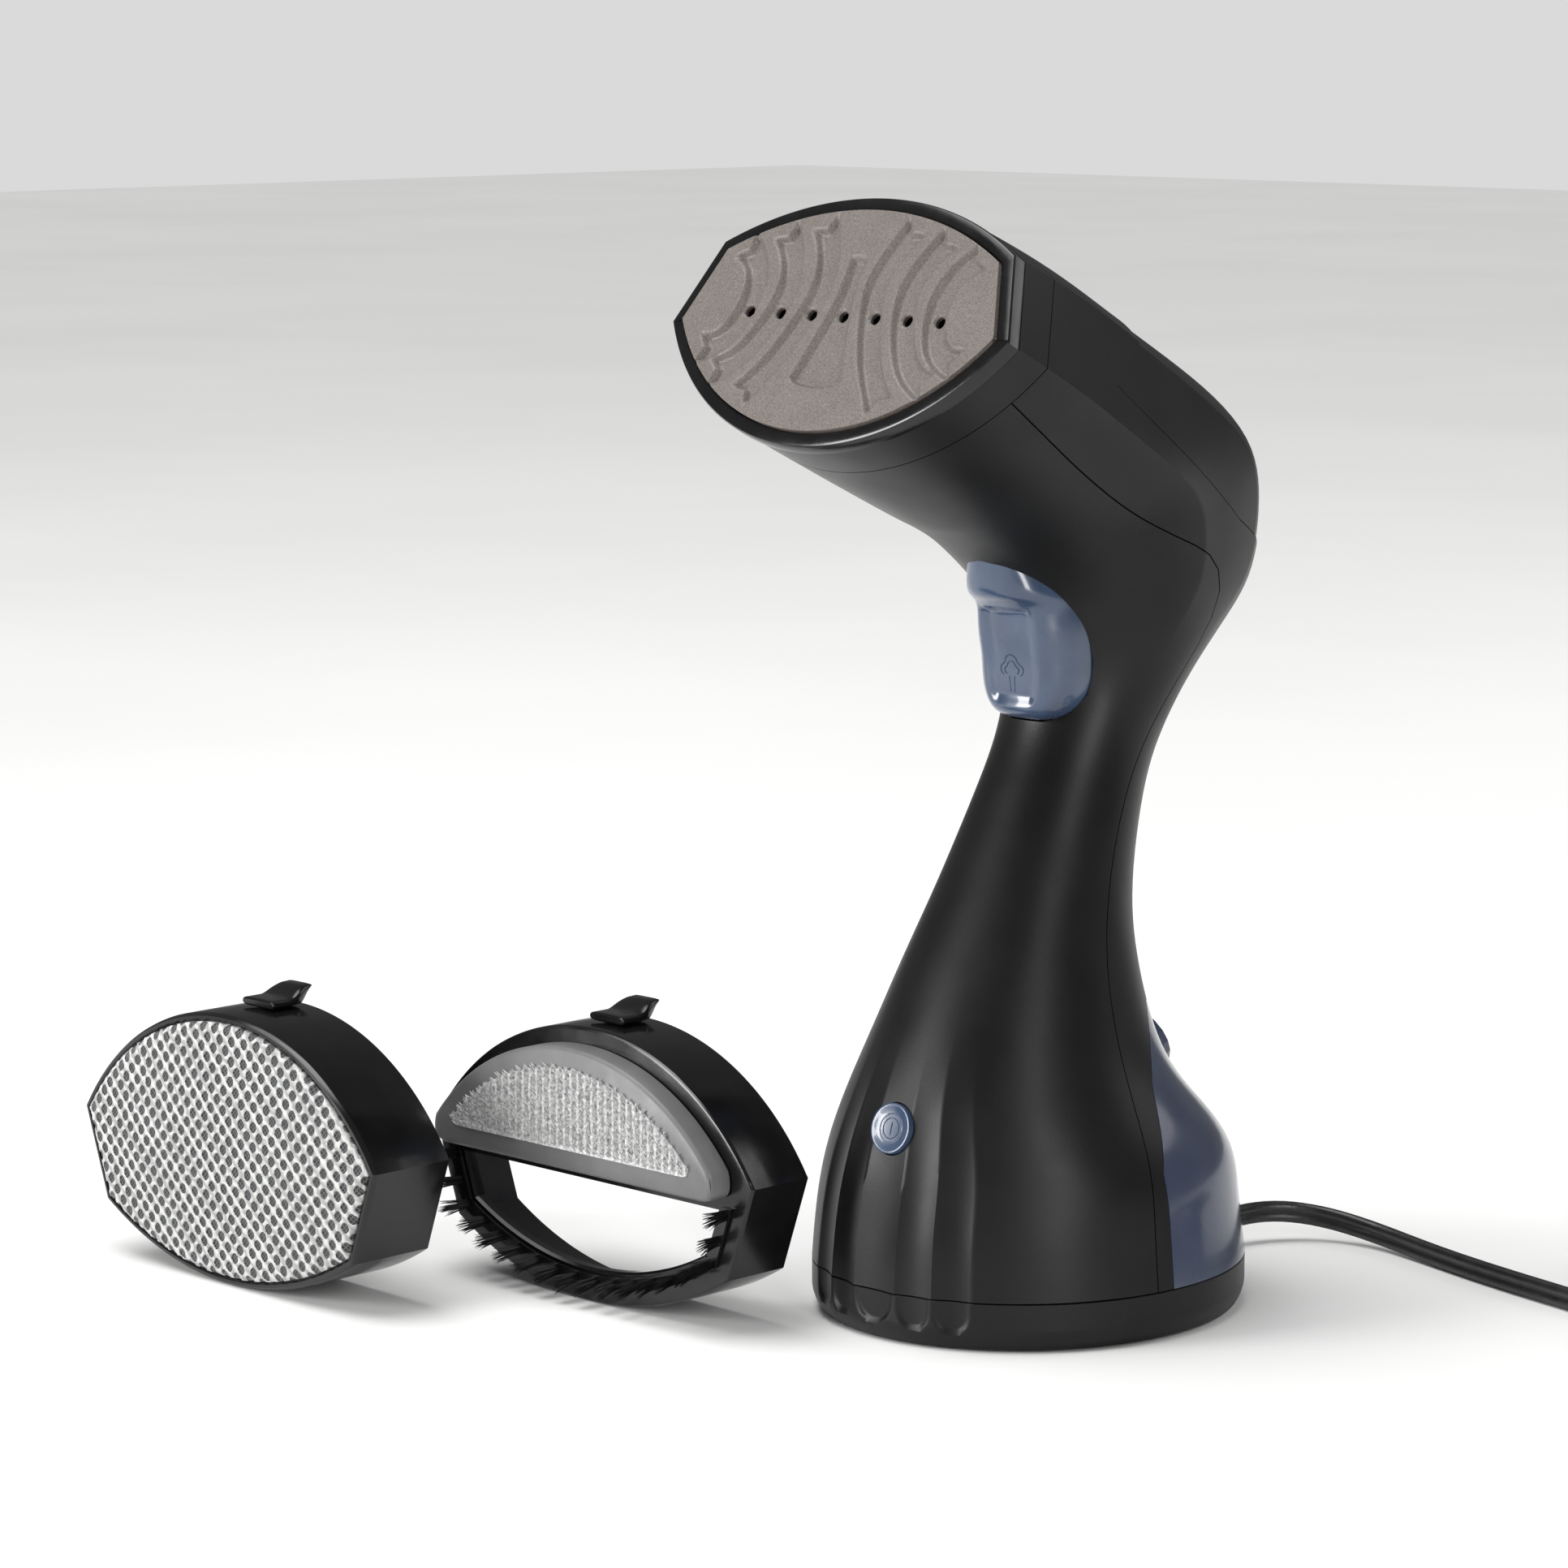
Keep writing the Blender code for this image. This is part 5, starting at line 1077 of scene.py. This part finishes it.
def pile_strands(point, outline, rng):
    """Short leaning fibres in columns that lean one way and the other by turns."""
    ring = np.array(outline)
    low, high = ring.min(axis=0), ring.max(axis=0)
    ahead = np.roll(ring, -1, axis=0)
    strands = []
    column = 0
    u = low[0]
    while u < high[0]:
        v = low[1]
        while v < high[1]:
            pu, pv = u + rng.uniform(-0.3, 0.3), v + rng.uniform(-0.3, 0.3)
            crosses = (ring[:, 1] > pv) != (ahead[:, 1] > pv)
            rise = np.where(crosses, ahead[:, 1] - ring[:, 1], 1.0)
            hits = crosses & (pu < ring[:, 0] + (pv - ring[:, 1]) / rise * (ahead[:, 0] - ring[:, 0]))
            if hits.sum() % 2:
                side = 1.0 if (column // 2) % 2 else -1.0
                reach = rng.uniform(1.2, 1.9)
                tip = point(pu + side * reach * 0.55, pv - reach * 0.75, -10.7 - rng.uniform(0.0, 0.5))
                bend = point(pu + side * 0.2, pv - 0.3, -10.7)
                strands.append((point(pu, pv, -9.6), bend, tip, rng.uniform(0.16, 0.24)))
            v += PILE_PITCH
        u += PILE_PITCH
        column += 1
    return strands


rng = np.random.default_rng(7)
brush_point = standing_point(BRUSH_PLACE)
BRUSH_PROFILE = ((outer - 1.0, -3.0), (outer - 0.4, -2.85), (outer - 0.1, -2.5), (outer, -1.9),
                 (outer, SKIRT_DEPTH))
brush_frame = outline_block("brush_head_frame", BRUSH_PROFILE, brush_point, 240, black_gloss)
window = outline_block("brush_opening", ((-5.4, -12.0), (-5.4, -2.9), (-6.0, -2.2), (-6.0, 8.0)), brush_point)
window_top = brush_point(0.0, 2.0, 0.0)[2]
shape(window, ("INTERSECT", side_block("upper_block", ((-200.0, -20.0), (0.0, -20.0), (0.0, window_top),
                                                       (-200.0, window_top)), 200.0)))
skirt_room = outline_block("skirt_room", ((SKIRT_FIT, 0.0), (SKIRT_FIT, 20.0)), brush_point)
shape(brush_frame, ("DIFFERENCE", window), ("DIFFERENCE", skirt_room))
soften(brush_frame, 0.4, 3, 50.0)
put_on(brush_frame, "brush_head", "gloss_black", "brush_frame")

# Grey ABS from a fine-etched mould, with a soft sheen and no clear reflection, and fine polyester fibres in
# mixed greys.
grey_satin = new_finish("etched grey ABS", {"IOR": 1.5}, (10.0, "#5b5b5c", "#636364"), (6.0, 0.4, 0.5),
                        (0.5, 0.008, 2.0))
lint_pile = new_finish("polyester lint pile",
                       {"Roughness": 0.85, "Sheen Weight": 0.3, "Sheen Roughness": 0.4},
                       (0.9, "#858687", "#d2d2d1"), None, (0.4, 0.1, 2.0), (0.3, 0.62))
holder = holder_block("lint_holder_plate", ((-2.6, -2.0, 6.0, -10.0), (-1.9, -1.4, 6.0, -9.6),
                                            (-1.5, -1.0, 6.0, -8.9), (-1.5, -1.0, 6.0, -3.3)), grey_satin)
recess = holder_block("lint_recess", ((-6.5, -6.0, 4.0, -14.0), (-6.5, -6.0, 4.0, -8.2)))
shape(holder, ("DIFFERENCE", recess))
soften(holder, 0.3, 2, 50.0)
put_on(holder, "brush_head", "satin_grey", "lint_holder")
PILE_EDGE = (-6.9, -6.4, 4.0)
lint_backing = holder_block("lint_backing", ((*PILE_EDGE, -10.4), (*PILE_EDGE, -8.5)), lint_pile)
put_on(lint_backing, "brush_head", "lint_pile", "lint_pad")
pile = filaments("lint_fibres", pile_strands(brush_point, rounded_half(*PILE_EDGE), rng), lint_pile)
carry(pile, "brush_head")

# Black nylon filament: extruded, slightly shiny.
bristle_black = new_finish("black nylon filament", {"IOR": 1.53}, (2.0, "#0b0b0c", "#171718"),
                           (1.5, 0.35, 0.5))
bristles = filaments("bristles", bristle_strands(brush_point, rng), bristle_black)
carry(bristles, "brush_head")
bristle_base = outline_block("strip_plate", ((-1.6, -4.2), (-1.6, -3.3)), brush_point, 240, black_gloss)
strip_top = window_top + 1.0
shape(bristle_base, ("DIFFERENCE", outline_block("strip_hole", ((-4.9, -8.0), (-4.9, 0.0)), brush_point)),
      ("INTERSECT", side_block("strip_block", ((-200.0, -20.0), (0.0, -20.0), (0.0, strip_top),
                                               (-200.0, strip_top)), 200.0)))
soften(bristle_base, 0.25, 2, 50.0)
put_on(bristle_base, "brush_head", "bristle", "bristle_strip")


# ---- Catches -----------------------------------------------------------------------------------------------
# Each clip-on head has a sprung catch of gloss black ABS on its long side: a finger tab that curls up at its
# back end and turns on the frame at its front end.
CATCH_FRONT = 3.0
CATCH_BACK = 17.3


def catch_rings(point):
    """The catch's rings from its hinge end to the tip of its tab."""
    edge = HEAD_BOTTOM - SKIRT_FIT - SKIRT_WALL
    rings = []
    for depth in np.linspace(CATCH_FRONT, CATCH_BACK, 40):
        low = 0.3 + 4.1 * float(ease((depth - 12.8) / 5.0))
        high = 2.6 + 2.5 * float(ease((depth - 8.5) / 6.5))
        end = min(depth - CATCH_FRONT, CATCH_BACK - depth)
        pinch = math.sqrt(1.0 - max(0.0, 1.0 - end / 0.8) ** 2) * 0.5 + 0.5
        half_width = (6.0 - 1.6 * float(ease((depth - 11.0) / 6.0))) * (0.9 + 0.1 * pinch)
        middle, half_height = (low + high) / 2.0, (high - low) / 2.0 * pinch
        rings.append([point(across, edge - middle - up, depth)
                      for across, up in rounded(half_width, half_height)])
    return rings


for name, body, point in (("pad_clip", "pad_clip", pad_point), ("brush_clip", "brush_clip", brush_point)):
    catch = loft(name + "_catch", catch_rings(point), black_gloss)
    put_on(catch, body, "gloss_black", name)


# ---- Parts kept from the CAD -----------------------------------------------------------------------------
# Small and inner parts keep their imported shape: the filler lid, heater and its cover, pump, hoses, spring,
# pin, screws, board, switches and base plate. Each gets the finish of its real material.
for finish, names in (
        # Die-cast aluminium, as cast: matt silver grey with a fine skin.
        (new_finish("die-cast aluminium", {"Metallic": 1.0}, (4.0, "#8f9093", "#a9aaad"), (2.0, 0.42, 0.62),
                    (0.8, 0.04, 2.0)), ("heater_block",)),
        # Zinc-plated steel: bluish bright metal with faint spangle.
        (new_finish("zinc-plated steel", {"Metallic": 1.0}, (3.0, "#9da2a8", "#bfc3c8"), (1.5, 0.25, 0.42)),
         ("heater_cover", "trigger_bracket", "trigger_pin", "trigger_spring", "pump_piston", "thermostat",
          "base_screw_1", "base_screw_2", "base_screw_3")),
        # Translucent moulded silicone rubber: soft, waxy and a little cloudy.
        (new_finish("moulded silicone", {"IOR": 1.41, "Subsurface Weight": 0.2}, (5.0, "#b9bcbc", "#cfd2d1"),
                    (3.0, 0.42, 0.58)), ("plate_seal", "tank_valve", "delivery_hose", "suction_hose")),
        # Glass-filled nylon: matt dark grey with a fibrous skin.
        (new_finish("glass-filled nylon", {"IOR": 1.53}, (1.2, "#2c2d2f", "#3a3b3d"), (1.5, 0.52, 0.68),
                    (0.6, 0.03, 2.0)), ("chassis", "base_plate", "pump_body", "micro_switch", "power_switch",
                                        "thermal_fuse", "lid_hinge")),
        # Glass epoxy board under green solder mask.
        (new_finish("solder mask on glass epoxy", {"IOR": 1.55}, (3.0, "#1d4a33", "#24583d"),
                    (2.0, 0.28, 0.42)), ("control_board",)),
        (smoky, ("filler_lid",)),
        (black_pvc, ("wiring_loom", "base_pad"))):
    refinish(finish, *names)
for name in ("heater_cover", "thermostat", "chassis", "base_plate", "pump_body", "trigger_bracket",
             "control_board", "micro_switch", "power_switch"):
    soften(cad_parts[name], 0.3, 2)
for name in sorted(TOOLS):
    bpy.data.objects.remove(bpy.data.objects[name])


# ---- Floor and light -------------------------------------------------------------------------------------
# A plain pale floor under a soft white sky, with a large soft box to the camera's left, a tall narrow one
# that draws the highlight down the grip, two weak ones above and behind, and a broad even sun.
floor_bm = bmesh.new()
bmesh.ops.create_grid(floor_bm, x_segments=1, y_segments=1, size=6000.0)
make_object("floor", floor_bm, new_finish("matt white paint", {"Roughness": 0.9},
                                                   (400.0, "#ededec", "#f1f1f0")))

world = bpy.data.worlds.new("soft white sky")
bpy.context.scene.world = world
world.use_nodes = True
sky = world.node_tree
background = sky.nodes["Background"]
path = add_node(sky, "ShaderNodeLightPath")
strength = add_node(sky, "ShaderNodeMapRange", {"Value": path.outputs["Is Camera Ray"], "To Min": 0.16,
                                                "To Max": 0.7})
sky.links.new(strength.outputs[0], background.inputs["Strength"])
background.inputs["Color"].default_value = (1.0, 1.0, 1.0, 1.0)


def soft_box(name, place, aim, width, height, watts):
    """A rectangular light facing a point, in metres."""
    light = bpy.data.lights.new(name, "AREA")
    light.shape = "RECTANGLE"
    light.size = width
    light.size_y = height
    light.energy = watts
    lamp = bpy.data.objects.new(name, light)
    lamp.location = place
    lamp.rotation_euler = (Vector(aim) - Vector(place)).to_track_quat("-Z", "Y").to_euler()
    bpy.context.scene.collection.objects.link(lamp)


soft_box("flute_light", (-0.85, -1.6, 0.45), (0.0, 0.0, 0.08), 0.7, 0.8, 30.0)
soft_box("body_strip", (1.45, -0.62, 0.5), (0.0, 0.0, 0.14), 0.3, 1.0, 11.0)
soft_box("top", (-0.3, -0.4, 2.2), (0.0, 0.0, 0.1), 1.2, 1.2, 16.0)
soft_box("back", (1.0, 1.7, 1.4), (0.0, 0.0, 0.15), 1.2, 1.2, 10.0)
sun = bpy.data.objects.new("even_daylight", bpy.data.lights.new("even_daylight", "SUN"))
sun.data.energy = 1.9
sun.data.angle = math.radians(50.0)
sun.rotation_euler = (math.radians(12.0), math.radians(-14.0), 0.0)
bpy.context.scene.collection.objects.link(sun)
